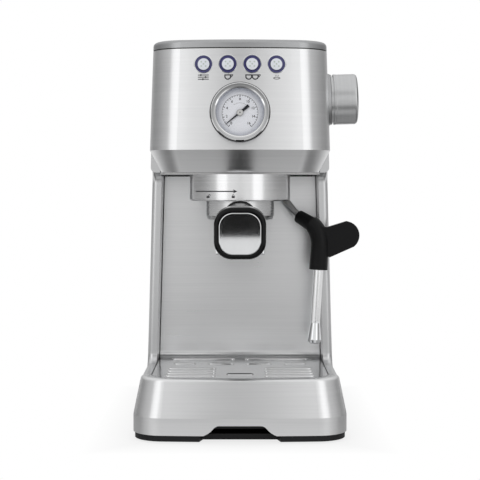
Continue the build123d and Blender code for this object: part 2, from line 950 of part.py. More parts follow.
with BuildPart() as portafilter_spout:
    with BuildSketch(Plane.XZ.offset(-group_y)):
        with BuildLine():
            Polyline((-spout_neck, ring_bottom), (spout_neck, ring_bottom), (spout_neck, neck_foot))
            ThreePointArc((spout_neck, neck_foot), (spout_half, shoulder), (leg_outer, leg_top))
            Polyline(
                (leg_outer, leg_top),
                (leg_outer - spout_taper, spout_bottom),
                (leg_inner + spout_taper, spout_bottom),
                (leg_inner, arch_foot),
            )
            ThreePointArc((leg_inner, arch_foot), (0, arch_top), (-leg_inner, arch_foot))
            Polyline(
                (-leg_inner, arch_foot),
                (-leg_inner - spout_taper, spout_bottom),
                (-leg_outer + spout_taper, spout_bottom),
                (-leg_outer, leg_top),
            )
            ThreePointArc((-leg_outer, leg_top), (-spout_half, shoulder), (-spout_neck, neck_foot))
            Line((-spout_neck, neck_foot), (-spout_neck, ring_bottom))
        make_face()
    extrude(amount=spout_depth, both=True)
    fillet(portafilter_spout.faces().filter_by(Axis.Y).edges(), radius=spout_round)
    with BuildSketch(upright(0, group_y, spout_bottom)):
        with Locations((-spout_half, 0), (spout_half, 0)):
            Circle(spout_bore)
    extrude(amount=2 * spout_depth, mode=Mode.SUBTRACT)
save(portafilter_spout, "portafilter_spout")


def along_handle(distance):
    return handle_seat.offset(distance)


cuff_start = neck_length
sleeve_start = cuff_start + cuff_length
ring_start = sleeve_start + sleeve_length
plate_start = ring_start + end_ring_length
cuff_round = 1.2
sleeve_bulge = 0.45  # where along its length the sleeve's middle section stands
sleeve_middle = (34.0, 33.0)
sleeve_corner = 15.0
end_ring_round = 3.0
end_plate_round = 0.8
end_plate_fit = 0.3

with BuildPart() as handle_collar:
    with BuildSketch(along_handle(cuff_start)):
        Circle(cuff_radius)
    extrude(amount=cuff_length)
    fillet(handle_collar.edges().filter_by(GeomType.CIRCLE), radius=cuff_round)
save(handle_collar, "handle_collar")

with BuildPart() as handle_sleeve:
    with BuildSketch(along_handle(sleeve_start)):
        RectangleRounded(2 * sleeve_start_radius, 2 * sleeve_start_radius, sleeve_start_radius - 0.5)
    with BuildSketch(along_handle(sleeve_start + sleeve_length * sleeve_bulge)):
        RectangleRounded(*sleeve_middle, sleeve_corner)
    with BuildSketch(along_handle(ring_start)):
        RectangleRounded(sleeve_end, sleeve_end, end_corner - 1)
    loft()
save(handle_sleeve, "handle_sleeve")

with BuildPart() as handle_end_ring:
    with BuildSketch(along_handle(ring_start)):
        RectangleRounded(end_ring, end_ring, end_corner)
    extrude(amount=end_ring_length)
    fillet(handle_end_ring.faces().sort_by(Axis.Y)[0].edges(), radius=end_ring_round)
    with BuildSketch(along_handle(plate_start)):
        seat_side = end_plate_side + 2 * end_plate_fit
        RectangleRounded(seat_side, seat_side, end_plate_corner + end_plate_fit)
    extrude(amount=-end_plate_seat, mode=Mode.SUBTRACT)
save(handle_end_ring, "handle_end_ring")

with BuildPart() as handle_end_plate:
    with BuildSketch(along_handle(plate_start - end_plate_seat)):
        RectangleRounded(end_plate_side, end_plate_side, end_plate_corner)
    extrude(amount=end_plate_thick)
    fillet(handle_end_plate.faces().sort_by(Axis.Y)[0].edges(), radius=end_plate_round)
save(handle_end_plate, "handle_end_plate")

# Gauge: case, dial, needle, glass and bezel
case_front = -1.6
case_fit = 0.1
dial_face = case_front + 0.8
inlet_radius = 7.0
inlet_length = 9.0
arbor_radius = 1.2
arbor_length = 1.4
arbor_hole = 5.0
hub_radius = 3.2
cap_boss_radius = 2.2
needle_thick = 0.9
boss_height = 0.8
needle_tail_half = 1.5
needle_waist = 1.1
needle_waist_x = -2.0
needle_tip_half = 0.25

with BuildPart() as gauge_case:
    turn(
        gauge_seat,
        (0, case_front),
        (dial_radius + case_fit, case_front),
        (dial_radius + case_fit, -case_depth),
        (inlet_radius, -case_depth),
        (inlet_radius, -case_depth - inlet_length),
        (0, -case_depth - inlet_length),
    )
save(gauge_case, "gauge_case")

with BuildPart() as gauge_dial:
    turn(gauge_seat, (0, case_front), (dial_radius, case_front), (dial_radius, dial_face), (0, dial_face))
    with BuildSketch(gauge_seat):
        Circle(arbor_radius + pin_fit)
    extrude(amount=-arbor_hole, mode=Mode.SUBTRACT)
save(gauge_dial, "gauge_dial")

with BuildPart() as gauge_needle:
    needle_turn = math.radians(needle_rest)
    needle_plane = Plane(
        origin=gauge_seat.origin,
        x_dir=gauge_seat.x_dir * math.cos(needle_turn) + gauge_seat.y_dir * math.sin(needle_turn),
        z_dir=gauge_seat.z_dir,
    )
    with BuildSketch(needle_plane):
        with BuildLine():
            Polyline(
                (-needle_tail, -needle_tail_half),
                (needle_waist_x, -needle_waist),
                (needle_reach, -needle_tip_half),
                (needle_reach, needle_tip_half),
                (needle_waist_x, needle_waist),
                (-needle_tail, needle_tail_half),
                close=True,
            )
        make_face()
        Circle(hub_radius)
    extrude(amount=needle_thick)
    with BuildSketch(gauge_seat.offset(needle_thick)):
        Circle(cap_boss_radius)
    extrude(amount=boss_height)
    with BuildSketch(gauge_seat):
        Circle(arbor_radius)
    extrude(amount=-arbor_length)
save(gauge_needle, "gauge_needle")

lens_bottom = 3.0
lens_thick = 1.4
lens_fit = 0.3
lens_top = lens_bottom + lens_thick + lens_fit
lens_ledge = 1.8
bezel_foot = 0.1
bezel_crown = 6.2
bezel_slope = 1.6
bezel_flat = 2.8
bezel_round = 0.4
skirt_depth = 5.0

with BuildPart() as gauge_lens:
    turn(
        gauge_seat,
        (0, lens_bottom),
        (lens_radius, lens_bottom),
        (lens_radius, lens_bottom + lens_thick),
        (0, lens_bottom + lens_thick),
    )
save(gauge_lens, "gauge_lens")

with BuildPart() as gauge_bezel:
    turn(
        gauge_seat,
        (bezel_opening, lens_top),
        (bezel_opening, lens_top + 0.6),
        (bezel_opening + bezel_slope, bezel_crown),
        (bezel_opening + bezel_slope + bezel_flat, bezel_crown),
        (bezel_radius - bezel_round, bezel_crown - 1),
        (bezel_radius, bezel_crown - 2),
        (bezel_radius, bezel_foot),
        (bezel_skirt, bezel_foot),
        (bezel_skirt, -skirt_depth),
        (dial_radius + bezel_round, -skirt_depth),
        (dial_radius + bezel_round, lens_ledge),
        (lens_radius + lens_fit, lens_ledge),
        (lens_radius + lens_fit, lens_top),
    )
save(gauge_bezel, "gauge_bezel")

# Buttons: four rings in the shell, light rings inside them and sprung caps
ring_foot = 0.1
ring_face = 0.9
light_face = 0.6
ring_edge = 0.4
ring_depth = 3.5
ring_fit = 0.1
cap_depth = 4.0

with BuildPart() as button_bezels:
    for seat in button_seats:
        turn(
            seat,
            (bezel_land, ring_face),
            (button_radius - ring_edge, ring_face),
            (button_radius, light_face),
            (button_radius, ring_foot),
            (button_hole - ring_fit, ring_foot),
            (button_hole - ring_fit, -ring_depth),
            (bezel_land, -ring_depth),
        )
save(button_bezels, "button_bezels")

with BuildPart() as button_light_rings:
    for seat in button_seats:
        turn(
            seat,
            (cap_radius + cap_gap, light_face),
            (bezel_land - ring_fit / 2, light_face),
            (bezel_land - ring_fit / 2, -ring_depth),
            (cap_radius + cap_gap, -ring_depth),
        )
save(button_light_rings, "button_light_rings")

button_names = ["button_program", "button_one_cup", "button_two_cup", "button_steam"]
cap_rise = dome_height(cap_radius / 2, cap_radius, cap_crown)
for name, seat in zip(button_names, button_seats):
    with BuildPart() as button_cap:
        with BuildSketch(turning_plane(seat)):
            with BuildLine():
                Polyline(
                    (cap_radius, cap_edge),
                    (cap_radius, -cap_depth),
                    (stem_radius, -cap_depth),
                    (stem_radius, -stem_length),
                    (0, -stem_length),
                    (0, cap_edge + cap_crown),
                )
                ThreePointArc(
                    (0, cap_edge + cap_crown),
                    (cap_radius / 2, cap_edge + cap_rise),
                    (cap_radius, cap_edge),
                )
            make_face()
        revolve(axis=Axis(seat.origin, seat.z_dir))
    save(button_cap, name)

board_depth = stem_length + button_travel + switch_gap
board_thick = 1.6
switch_side = 6.0
switch_height = 4.0
switch_lap = 0.6  # how far the outer switches run into the board behind the bow
board_size = (100.0, 20.0)
board_corner = 3.0
post_x = 46.5
post_radius = 2.5
post_head = 6.2  # how far the posts end behind the face
post_lap = 0.2
board_back = board_depth + switch_height + board_thick
board_seat = face_seat(0, button_level)

with BuildPart() as button_board:
    with BuildSketch(board_seat.offset(-board_back)):
        RectangleRounded(*board_size, board_corner)
    extrude(amount=board_thick)
    for seat in button_seats:
        with BuildSketch(seat.offset(-board_depth)):
            Rectangle(switch_side, switch_side)
        extrude(amount=-switch_height - switch_lap)
    with BuildSketch(board_seat.offset(-board_depth - switch_height - post_lap)):
        with Locations((-post_x, 0), (post_x, 0)):
            Circle(post_radius)
    extrude(amount=board_depth + switch_height + post_lap - post_head)
save(button_board, "button_board")

# Steam knob: collar, valve, spindle and knob, on an axis square to the leaning side
collar_foot_radius = 27.6
collar_face_radius = 26.0
collar_foot = 0.1
collar_step = 1.4
collar_bore = valve_neck + 0.3
neck_top = knob_start - 0.6
body_top = -panel_skin - 0.2
spindle_end = 0.5 - valve_bore
spindle_bevel = 1.0
hub_depth = 10.0
hub_fit = 0.02
knob_groove = 2.0
knob_lip = 1.2
knob_band = 0.2  # how far the band behind the groove stands out
knob_edge = 3.2
knob_end = knob_start + knob_length

with BuildPart() as knob_collar:
    turn(
        knob_seat,
        (collar_bore, collar_foot),
        (collar_foot_radius, collar_foot),
        (collar_foot_radius, collar_step),
        (collar_face_radius, collar_height),
        (collar_bore, collar_height),
    )
save(knob_collar, "knob_collar")

with BuildPart() as steam_valve:
    turn(
        knob_seat,
        (spindle_radius + spindle_fit, neck_top),
        (valve_neck, neck_top),
        (valve_neck, body_top),
        (valve_radius, body_top),
        (valve_radius, -valve_depth),
        (0, -valve_depth),
        (0, -valve_bore),
        (spindle_radius + spindle_fit, -valve_bore),
    )
save(steam_valve, "steam_valve")

with BuildPart() as valve_spindle:
    turn(
        knob_seat,
        (0, spindle_end),
        (spindle_radius - spindle_bevel, spindle_end),
        (spindle_radius, spindle_end + spindle_bevel),
        (spindle_radius, knob_start + hub_depth),
        (0, knob_start + hub_depth),
    )
save(valve_spindle, "valve_spindle")

with BuildPart() as steam_knob:
    with BuildSketch(turning_plane(knob_seat)):
        with BuildLine():
            groove_start = knob_start + knob_lip
            groove_end = groove_start + knob_groove - knob_band
            band_end = groove_end + knob_groove
            face_radius = knob_radius - knob_edge
            knob_rise = dome_height(face_radius / 2, face_radius, knob_crown)
            Polyline(
                (0, knob_end + knob_crown),
                (0, knob_start + hub_depth),
                (spindle_radius + hub_fit, knob_start + hub_depth),
                (spindle_radius + hub_fit, knob_start),
                (knob_radius, knob_start),
                (knob_radius, groove_start),
                (knob_radius - knob_groove, groove_start),
                (knob_radius - knob_groove, groove_end),
                (knob_radius + knob_band, groove_end),
                (knob_radius + knob_band, band_end),
                (knob_radius, band_end + 2 * knob_band),
                (knob_radius, knob_end - knob_edge),
            )
            ThreePointArc(
                (knob_radius, knob_end - knob_edge),
                (knob_radius - knob_edge * 0.29, knob_end - knob_edge * 0.29),
                (face_radius, knob_end),
            )
            ThreePointArc(
                (face_radius, knob_end),
                (face_radius / 2, knob_end + knob_rise),
                (0, knob_end + knob_crown),
            )
        make_face()
    revolve(axis=Axis(knob_seat.origin, knob_seat.z_dir))
save(steam_knob, "steam_knob")

# Steam wand: fixed socket, turning cup, tube with its ball, grip and tip
cup_wall = 1.6
socket_cap = 5.0
ball_seat = upright(ball_x, ball_y, ball_z)
cup_top = ball_radius + ball_fit + cup_wall

with BuildPart() as wand_swivel:
    turn(ball_seat, (0, cup_top), (swivel_radius, cup_top), (swivel_radius, -swivel_drop), (0, -swivel_drop))
    with Locations((ball_x, ball_y, ball_z)):
        Sphere(ball_radius + ball_fit, mode=Mode.SUBTRACT)
save(wand_swivel, "wand_swivel")

socket_top = cup_top + socket_cap
socket_bottom = deck_bottom + deck_thick - ball_z
with BuildPart() as wand_socket:
    turn(
        ball_seat,
        (0, cup_top + ball_fit),
        (swivel_radius + ball_fit, cup_top + ball_fit),
        (swivel_radius + ball_fit, socket_bottom),
        (swivel_radius + socket_cap, socket_bottom),
        (swivel_radius + socket_cap, socket_top),
        (0, socket_top),
    )
save(wand_socket, "wand_socket")

with BuildPart() as wand_tube:
    with BuildLine() as wand_path:
        FilletPolyline(*wand_route, radius=wand_bends)
    with BuildSketch(Plane(origin=wand_path.line @ 0, z_dir=wand_path.line % 0)):
        Circle(tube_radius)
    sweep()
    with Locations((ball_x, ball_y, ball_z)):
        Sphere(ball_radius)
save(wand_tube, "wand_tube")

tube_end = Vector(*wand_route[-1])
tube_run = (tube_end - Vector(*wand_route[-2])).normalized()
tip_seat = Plane(origin=tube_end, x_dir=(0, 1, 0), z_dir=tube_run)
tip_gap = 0.05
tip_bore = 1.0
tip_bore_depth = 3.0
tip_shoulder = tip_length - 4.0

with BuildPart() as wand_tip:
    turn(
        tip_seat,
        (0, tip_gap),
        (tube_radius, tip_gap),
        (tube_radius, tip_bore_depth - 1),
        (tip_radius, tip_shoulder),
        (tip_radius - 1, tip_length - 1),
        (tip_radius - tip_bore_depth, tip_length),
        (tip_bore, tip_length),
        (tip_bore, tip_length - tip_bore_depth),
        (0, tip_length - tip_bore_depth),
    )
save(wand_tip, "wand_tip")

# Rubber grip on the wand: a cuff on the upper run, an elbow, a sleeve and a thumb paddle
grip_fit = 2.6  # thickness of the rubber at the elbow's start
cuff_wall = 1.6
elbow_radius = 8.8
sleeve_radius = 9.0
sleeve_flare = 0.4
cuff_run = 20.0
sleeve_start_run = 8.0
sleeve_run = 24.0
paddle_half = 4.5
upper_point, bend_point, lower_point = [Vector(*point) for point in wand_route[2:5]]
upper_run = (bend_point - upper_point).normalized()
lower_run = (Vector(*wand_route[-1]) - lower_point).normalized()
cuff_point = bend_point - upper_run * cuff_run
sleeve_top = lower_point + lower_run * sleeve_start_run
sleeve_foot = sleeve_top + lower_run * sleeve_run
elbow_point = (bend_point + sleeve_top) / 2 + Vector(2, 0, 1.5)
paddle_foot = lower_point + Vector(0.8, 0, -19.5)
paddle_plane = Plane(origin=paddle_foot, x_dir=(1, 0, 0), z_dir=(0, -1, 0))
paddle_under = [(0, 3.5), (8.6, 0), (32.7, 10.7)]
paddle_end = (38.4, 24)
paddle_over = [(25.6, 36.6), (6, 30.5), (-4, 31.5), (0, 3.5)]

with BuildPart() as wand_grip:
    with BuildSketch(Plane(origin=cuff_point, z_dir=upper_run)):
        Circle(tube_radius + cuff_wall)
    with BuildSketch(Plane(origin=bend_point, z_dir=upper_run)):
        Circle(tube_radius + grip_fit)
    loft()
    with BuildSketch(Plane(origin=bend_point, z_dir=upper_run)):
        Circle(elbow_radius)
    with BuildSketch(Plane(origin=elbow_point, z_dir=(upper_run + lower_run).normalized())):
        Circle(elbow_radius + sleeve_flare)
    with BuildSketch(Plane(origin=sleeve_top, z_dir=lower_run)):
        Circle(sleeve_radius)
    loft()
    with BuildSketch(Plane(origin=sleeve_top, z_dir=lower_run)):
        Circle(sleeve_radius)
    with BuildSketch(Plane(origin=sleeve_foot, z_dir=lower_run)):
        Circle(sleeve_radius + sleeve_flare)
    loft()
    with BuildSketch(paddle_plane):
        with BuildLine():
            Polyline(*paddle_under)
            ThreePointArc(paddle_under[-1], paddle_end, paddle_over[0])
            Polyline(*paddle_over)
        make_face()
    extrude(amount=paddle_half, both=True)
    add(wand_tube.part, mode=Mode.SUBTRACT)
save(wand_grip, "wand_grip")

# Tank bay, tank, its valve and its lid
bay_back = body_back - 1
bay_foot = strip_top + 1
bay_top = head_top - bay_drop
bay_flange = 20.0  # strips beside the tank that reach the side panels
gland_neck = 7.0
gland_hole = gland_neck + 0.2
screw_hole = screw_shank + 0.1
vent_slot = (40.0, 3.0)
vent_pitch = 7.0
vent_rows = 4
vent_x = -38.0
vent_z = (bay_foot + bay_floor) / 2

with BuildPart() as tank_bay:
    with BuildSketch(Plane.XY.offset(bay_foot)):
        with Locations((0, bay_front)):
            Rectangle(2 * base_half, bay_wall, align=(Align.CENTER, Align.MIN))
    extrude(amount=bay_top - bay_foot)
    with BuildSketch(Plane.XY.offset(bay_floor)):
        with Locations((0, bay_front)):
            Rectangle(2 * base_half, bay_back - bay_front, align=(Align.CENTER, Align.MIN))
    extrude(amount=bay_floor_thick)
    with BuildSketch(Plane.XY.offset(bay_floor)):
        for side in (-1, 1):
            with Locations((side * (bay_half - bay_wall / 2), (bay_front + bay_back) / 2)):
                Rectangle(bay_wall, bay_back - bay_front)
            with Locations((side * (bay_half + bay_flange / 2), bay_back - bay_wall / 2)):
                Rectangle(bay_flange + bay_wall, bay_wall)
    extrude(amount=bay_top - bay_floor)
    with BuildSketch(Plane.XY.offset(bay_foot)):
        with Locations((0, bay_back)):
            Rectangle(2 * base_half, bay_wall, align=(Align.CENTER, Align.MAX))
    extrude(amount=bay_floor - bay_foot + 1)
    trim_between_sides(panel_wall + deck_gap)
    turn(
        upright(0, tank_foot_y, socket_bottom_z),
        (0, 0),
        (socket_radius + socket_wall, 0),
        (socket_radius + socket_wall, bay_floor - socket_bottom_z),
        (0, bay_floor - socket_bottom_z),
    )
    turn(
        upright(0, tank_foot_y, socket_bottom_z),
        (0, 0),
        (nipple_radius, 0),
        (nipple_radius, -nipple_length),
        (0, -nipple_length),
    )
    with BuildSketch(Plane.XY.offset(bay_floor + bay_floor_thick)):
        with Locations((0, tank_foot_y)):
            Circle(socket_radius)
    extrude(amount=socket_bottom_z + socket_wall - bay_floor - bay_floor_thick, mode=Mode.SUBTRACT)
    with BuildSketch(Plane.XZ.offset(-bay_back)):
        with Locations((gland_x, gland_z)):
            Circle(gland_hole)
        with Locations(*screw_spots):
            Circle(screw_hole)
        with Locations((vent_x, vent_z)):
            with GridLocations(0, vent_pitch, 1, vent_rows):
                SlotOverall(*vent_slot)
    extrude(amount=2 * bay_wall, mode=Mode.SUBTRACT)
    with BuildSketch(Plane.XZ.offset(-bay_front - bay_wall)):
        with Locations((hose_x, hose_z)):
            Circle(hose_radius + 1)
    extrude(amount=bay_wall, mode=Mode.SUBTRACT)
save(tank_bay, "tank_bay")

tank_half = bay_half - bay_wall - tank_gap
tank_front = bay_front + bay_wall + tank_gap
tank_bottom = bay_floor + bay_floor_thick + lid_gap
tank_depth = body_back - tank_gap - tank_front
ear_reach = 10.0  # how far the ears run down the tank
ear_block = (7.0, 16.0)
pin_hold = 0.02


def tank_outline(inset, level):
    with BuildSketch(Plane.XY.offset(level)) as outline:
        with Locations((0, tank_front + tank_depth / 2)):
            RectangleRounded(2 * (tank_half - inset), tank_depth - 2 * inset, tank_corner - inset)
    return outline.sketch


with BuildPart() as water_tank:
    extrude(tank_outline(0, tank_bottom), amount=tank_top - tank_bottom)
    extrude(tank_outline(tank_wall, tank_bottom + tank_wall), amount=tank_top, mode=Mode.SUBTRACT)
    with BuildSketch(Plane.XY.offset(tank_bottom)):
        with Locations((0, tank_foot_y)):
            Circle(tank_foot_radius)
    extrude(amount=-tank_foot_depth)
    with BuildSketch(Plane.XY.offset(tank_bottom - tank_foot_depth)):
        with Locations((0, tank_foot_y)):
            Circle(tank_foot_bore)
    extrude(amount=tank_foot_depth + tank_wall, mode=Mode.SUBTRACT)
    for side in (-1, 1):
        ear_x = side * (ear_inner + ear_width / 2)
        with BuildSketch(Plane.YZ.offset(ear_x - ear_width / 2)):
            with Locations((lid_axis_y, lid_axis_z)):
                Circle(ear_radius)
            with Locations((lid_axis_y, lid_axis_z)):
                Rectangle(2 * ear_radius, lid_axis_z - tank_top + ear_reach, align=(Align.CENTER, Align.MAX))
            with Locations((lid_axis_y + ear_radius, tank_top - ear_reach)):
                Rectangle(*ear_block, align=(Align.MAX, Align.MIN))
            with Locations((lid_axis_y, lid_axis_z)):
                Circle(pin_radius + pin_hold, mode=Mode.SUBTRACT)
        extrude(amount=ear_width)
save(water_tank, "water_tank")

valve_cup = 6.2
valve_stem = 2.5
valve_cap = 7.4
stem_top = tank_foot_depth + tank_wall + 0.2
valve_top = stem_top + 5.8
with BuildPart() as tank_valve:
    turn(
        upright(0, tank_foot_y, tank_bottom - tank_foot_depth),
        (0, 0.4),
        (valve_cup - 1.2, 0.4),
        (valve_cup, 2),
        (valve_cup, 4),
        (valve_stem, 4),
        (valve_stem, stem_top),
        (valve_cap, stem_top),
        (valve_cap, valve_top),
        (0, valve_top),
    )
save(tank_valve, "tank_valve")

lid_skin = 2.6
lid_hollow_half = bay_half - 1.1
lid_hollow_front = lid_start + 4.0
lid_hollow_back = lid_axis_y - 11.4
lid_hollow_corner = 6.0
ear_play = 0.5
pin_reach = 4.0  # how far a pin stands out on each side of its ear
with BuildPart() as tank_lid:
    with BuildSketch(Plane.XY.offset(lid_bottom)):
        with Locations((0, lid_start)):
            Rectangle(2 * side_half(lid_bottom), lid_back - lid_start, align=(Align.CENTER, Align.MIN))
    extrude(amount=rim_top - lid_bottom)
    trim_between_sides(0)
    fillet(tank_lid.edges().filter_by(Axis.Z, 3).sort_by(Axis.Y)[-2:], radius=rear_round)
    lid_edges = tank_lid.faces().sort_by(Axis.Z)[-1].edges().sort_by(Axis.Y)[1:]
    fillet(lid_edges, radius=rim_round)
    with BuildSketch(Plane.YZ.offset(-wall_half)):
        with BuildLine():
            Polyline((lid_axis_y, lid_bottom), (lid_back, lid_bottom), (lid_back, lid_axis_z))
            RadiusArc((lid_back, lid_axis_z), (lid_axis_y, lid_bottom), lid_roll)
        make_face()
    extrude(amount=2 * wall_half, mode=Mode.SUBTRACT)
    with BuildSketch(Plane.XY.offset(lid_bottom)):
        with Locations((0, (lid_hollow_front + lid_hollow_back) / 2)):
            RectangleRounded(2 * lid_hollow_half, lid_hollow_back - lid_hollow_front, lid_hollow_corner)
    extrude(amount=rim_height - lid_skin, mode=Mode.SUBTRACT)
    with BuildSketch(Plane.XY.offset(lid_bottom - 1)):
        for side in (-1, 1):
            with Locations((side * (ear_inner + ear_width / 2), lid_axis_y - ear_radius - 1)):
                Rectangle(ear_width + 2 * ear_play, 2 * rim_height, align=(Align.CENTER, Align.MIN))
    extrude(amount=2 * rim_height, mode=Mode.SUBTRACT)
    with BuildSketch(Plane.YZ.offset(-ear_inner - ear_width - pin_reach - 1)):
        with Locations((lid_axis_y, lid_axis_z)):
            Circle(pin_radius + pin_fit)
    extrude(amount=2 * (ear_inner + ear_width + pin_reach + 1), mode=Mode.SUBTRACT)
save(tank_lid, "tank_lid")

with BuildPart() as lid_pins:
    for side in (-1, 1):
        with BuildSketch(Plane.YZ.offset(side * (ear_inner + ear_width / 2) - ear_width / 2 - pin_reach)):
            with Locations((lid_axis_y, lid_axis_z)):
                Circle(pin_radius)
        extrude(amount=ear_width + 2 * pin_reach)
save(lid_pins, "lid_pins")

# Inside: thermoblock, valve, pump, boards
block_width = 2 * (side_half(knob_level) - valve_depth - 7.2)
block_depth = 76.0
block_height = 36.0
block_corner = 10.0
block_y = group_y + 19.0
block_fins = 6
fin_pitch = 12.0
fin_thick = 4.0
fin_height = 6.0
fin_inset = 4.0

with BuildPart() as thermoblock:
    with BuildSketch(Plane.XY.offset(group_top)):
        with Locations((0, block_y)):
            RectangleRounded(block_width, block_depth, block_corner)
    extrude(amount=block_height)
    with BuildSketch(Plane.XY.offset(group_top + block_height)):
        with Locations((0, block_y)):
            with GridLocations(0, fin_pitch, 1, block_fins):
                RectangleRounded(block_width - 2 * fin_inset, fin_thick, fin_thick * 0.45)
    extrude(amount=fin_height)
save(thermoblock, "thermoblock")

solenoid_spot = (-2.0, panel_front + 18.0)
solenoid_body = (34.0, 26.0)
solenoid_corner = 3.0
solenoid_levels = (18.0, 50.0, 56.0)  # tops of its body, coil and nut
coil_radius = 13.0
nut_radius = 5.0
deck_top = deck_bottom + deck_thick

with BuildPart() as solenoid_valve:
    with BuildSketch(Plane.XY.offset(deck_top)):
        with Locations(solenoid_spot):
            RectangleRounded(*solenoid_body, solenoid_corner)
    extrude(amount=solenoid_levels[0])
    with BuildSketch(Plane.XY.offset(deck_top)):
        with Locations(solenoid_spot):
            Circle(coil_radius)
    extrude(amount=solenoid_levels[1])
    with BuildSketch(Plane.XY.offset(deck_top)):
        with Locations(solenoid_spot):
            Circle(nut_radius)
    extrude(amount=solenoid_levels[2])
save(solenoid_valve, "solenoid_valve")

pump_foot = 75.0
pump_ring = 17.0
pump_shoulder = 3.0
pump_bevelled = 11.0
pump_body_top = 188.0
pump_top = 200.0
pump_outlet = 6.0
coil_box = (50.0, 46.0)
coil_corner = 4.0
coil_foot = 98.0
coil_height = 56.0
mount_levels = (82.0, 168.0)
mount_height = 8.0
mount_wall = 6.0
mount_width = 20.0
mount_fit = 0.05
pump_seat = upright(hose_x, pump_y, 0)

with BuildPart() as pump:
    turn(
        pump_seat,
        (0, pump_foot),
        (pump_bevelled, pump_foot),
        (pump_ring, pump_foot + pump_shoulder),
        (pump_ring, pump_body_top - pump_shoulder),
        (pump_bevelled, pump_body_top),
        (pump_outlet, pump_body_top),
        (pump_outlet, pump_top),
        (0, pump_top),
    )
    with BuildSketch(upright(hose_x, pump_y, coil_foot)):
        RectangleRounded(*coil_box, coil_corner)
    extrude(amount=coil_height)
save(pump, "pump")

with BuildPart() as pump_mounts:
    for level in mount_levels:
        with BuildSketch(upright(hose_x, pump_y, level)):
            Circle(pump_ring + mount_wall)
            Rectangle(mount_width, bay_front - pump_y, align=(Align.CENTER, Align.MIN))
            Circle(pump_ring + mount_fit, mode=Mode.SUBTRACT)
        extrude(amount=mount_height)
save(pump_mounts, "pump_mounts")

control_left = -10.0
control_right = bay_half - 2.1
control_level = 200.0
control_height = 130.0
control_corner = 3.0
control_thick = 1.6
control_parts = 15.0
control_post = 4.0
control_post_radius = 3.0
control_inset = 6.0
control_x = (control_left + control_right) / 2
relay_spots = [(control_x - 12, control_level + 35), (control_x + 12, control_level + 35)]
relay_size = (18.0, 16.0)
supply_spot = (control_x + 4, control_level - 10)
supply_size = (40.0, 30.0)
capacitor_spot = (control_x - 18, control_level - 45)
capacitor_radius = 8.0
board_plane = Plane.XZ.offset(control_post - bay_front)

with BuildPart() as control_board:
    with BuildSketch(board_plane):
        with Locations((control_x, control_level)):
            RectangleRounded(control_right - control_left, control_height, control_corner)
    extrude(amount=control_thick)
    with BuildSketch(board_plane.offset(control_thick)):
        with Locations(*relay_spots):
            Rectangle(*relay_size)
        with Locations(supply_spot):
            Rectangle(*supply_size)
        with Locations(capacitor_spot):
            Circle(capacitor_radius)
    extrude(amount=control_parts)
    with BuildSketch(board_plane):
        post_pitch_x = control_right - control_left - 2 * control_inset
        post_pitch_z = control_height - 2 * control_inset
        with Locations((control_x, control_level)):
            with GridLocations(post_pitch_x, post_pitch_z, 2, 2):
                Circle(control_post_radius)
    extrude(amount=-control_post)
save(control_board, "control_board")

gland_bore = 4.2
gland_flange = 9.5
gland_gap = 0.1
gland_face = 0.9
gland_depth = 8.0
gland_seat = Plane(origin=(gland_x, bay_back, gland_z), x_dir=(1, 0, 0), z_dir=(0, 1, 0))

with BuildPart() as cord_gland:
    turn(
        gland_seat,
        (gland_bore, gland_face),
        (gland_flange - 1, gland_face),
        (gland_flange, gland_gap),
        (gland_neck, gland_gap),
        (gland_neck, -gland_depth),
        (gland_bore, -gland_depth),
    )
save(cord_gland, "cord_gland")


def bent_pipe(points, radius, bends):
    # A round pipe along straight runs joined by arcs.
    with BuildLine() as route:
        FilletPolyline(*points, radius=bends)
    with BuildSketch(Plane(origin=route.line @ 0, z_dir=route.line % 0)) as section:
        Circle(radius)
    return sweep(section.sketch, path=route.line, mode=Mode.PRIVATE)


pipe_gap = 0.1
block_back = block_y + block_depth / 2 + pipe_gap
hose_bend = 9.0
outlet_bend = 12.0
pipe_bend = 7.0
outlet_level = group_top + 19.0
suction_route = [
    (0, tank_foot_y, socket_bottom_z - nipple_length - pipe_gap),
    (0, tank_foot_y, hose_z),
    (hose_x, bay_front + 17.5, hose_z),
    (hose_x, pump_y, hose_z),
    (hose_x, pump_y, pump_foot - pipe_gap),
]
pressure_route = [
    (hose_x, pump_y, pump_top + pipe_gap),
    (hose_x, pump_y, outlet_level),
    (hose_x, block_back, outlet_level),
]

with BuildPart() as water_hoses:
    add(bent_pipe(suction_route, hose_radius, [hose_bend, hose_bend, hose_bend]))
    add(bent_pipe(pressure_route, hose_radius, [outlet_bend]))
save(water_hoses, "water_hoses")

valve_end = knob_seat.origin + knob_seat.z_dir * (-valve_depth - pipe_gap)
steam_x = block_width / 2 - 16.0
steam_level = outlet_level + 7.0
steam_y = block_back + 19.9
valve_x = ball_x + 25.0
valve_under = knob_level - (side_half(knob_level) - valve_x) * math.tan(lean) - valve_radius / math.cos(lean)
valve_foot = valve_under - pipe_radius * math.tan(lean) - pipe_gap
valve_outlet = deck_top + 3.0
boiler_route = [
    (steam_x, block_back, steam_level),
    (steam_x, steam_y, steam_level),
    (steam_x, steam_y, steam_level + 30),
    (steam_x + 2, knob_y, valve_end.Z),
    tuple(valve_end),
]
wand_feed_route = [
    (valve_x, knob_y, valve_foot),
    (valve_x, knob_y, valve_outlet + 16),
    (valve_x, ball_y, valve_outlet),
    (ball_x + swivel_radius + socket_cap + pipe_gap, ball_y, valve_outlet),
]

with BuildPart() as steam_pipes:
    add(bent_pipe(boiler_route, pipe_radius, [pipe_bend, pipe_bend, pipe_bend]))
    add(bent_pipe(wand_feed_route, pipe_radius, [pipe_bend, pipe_bend - 1]))
save(steam_pipes, "steam_pipes")

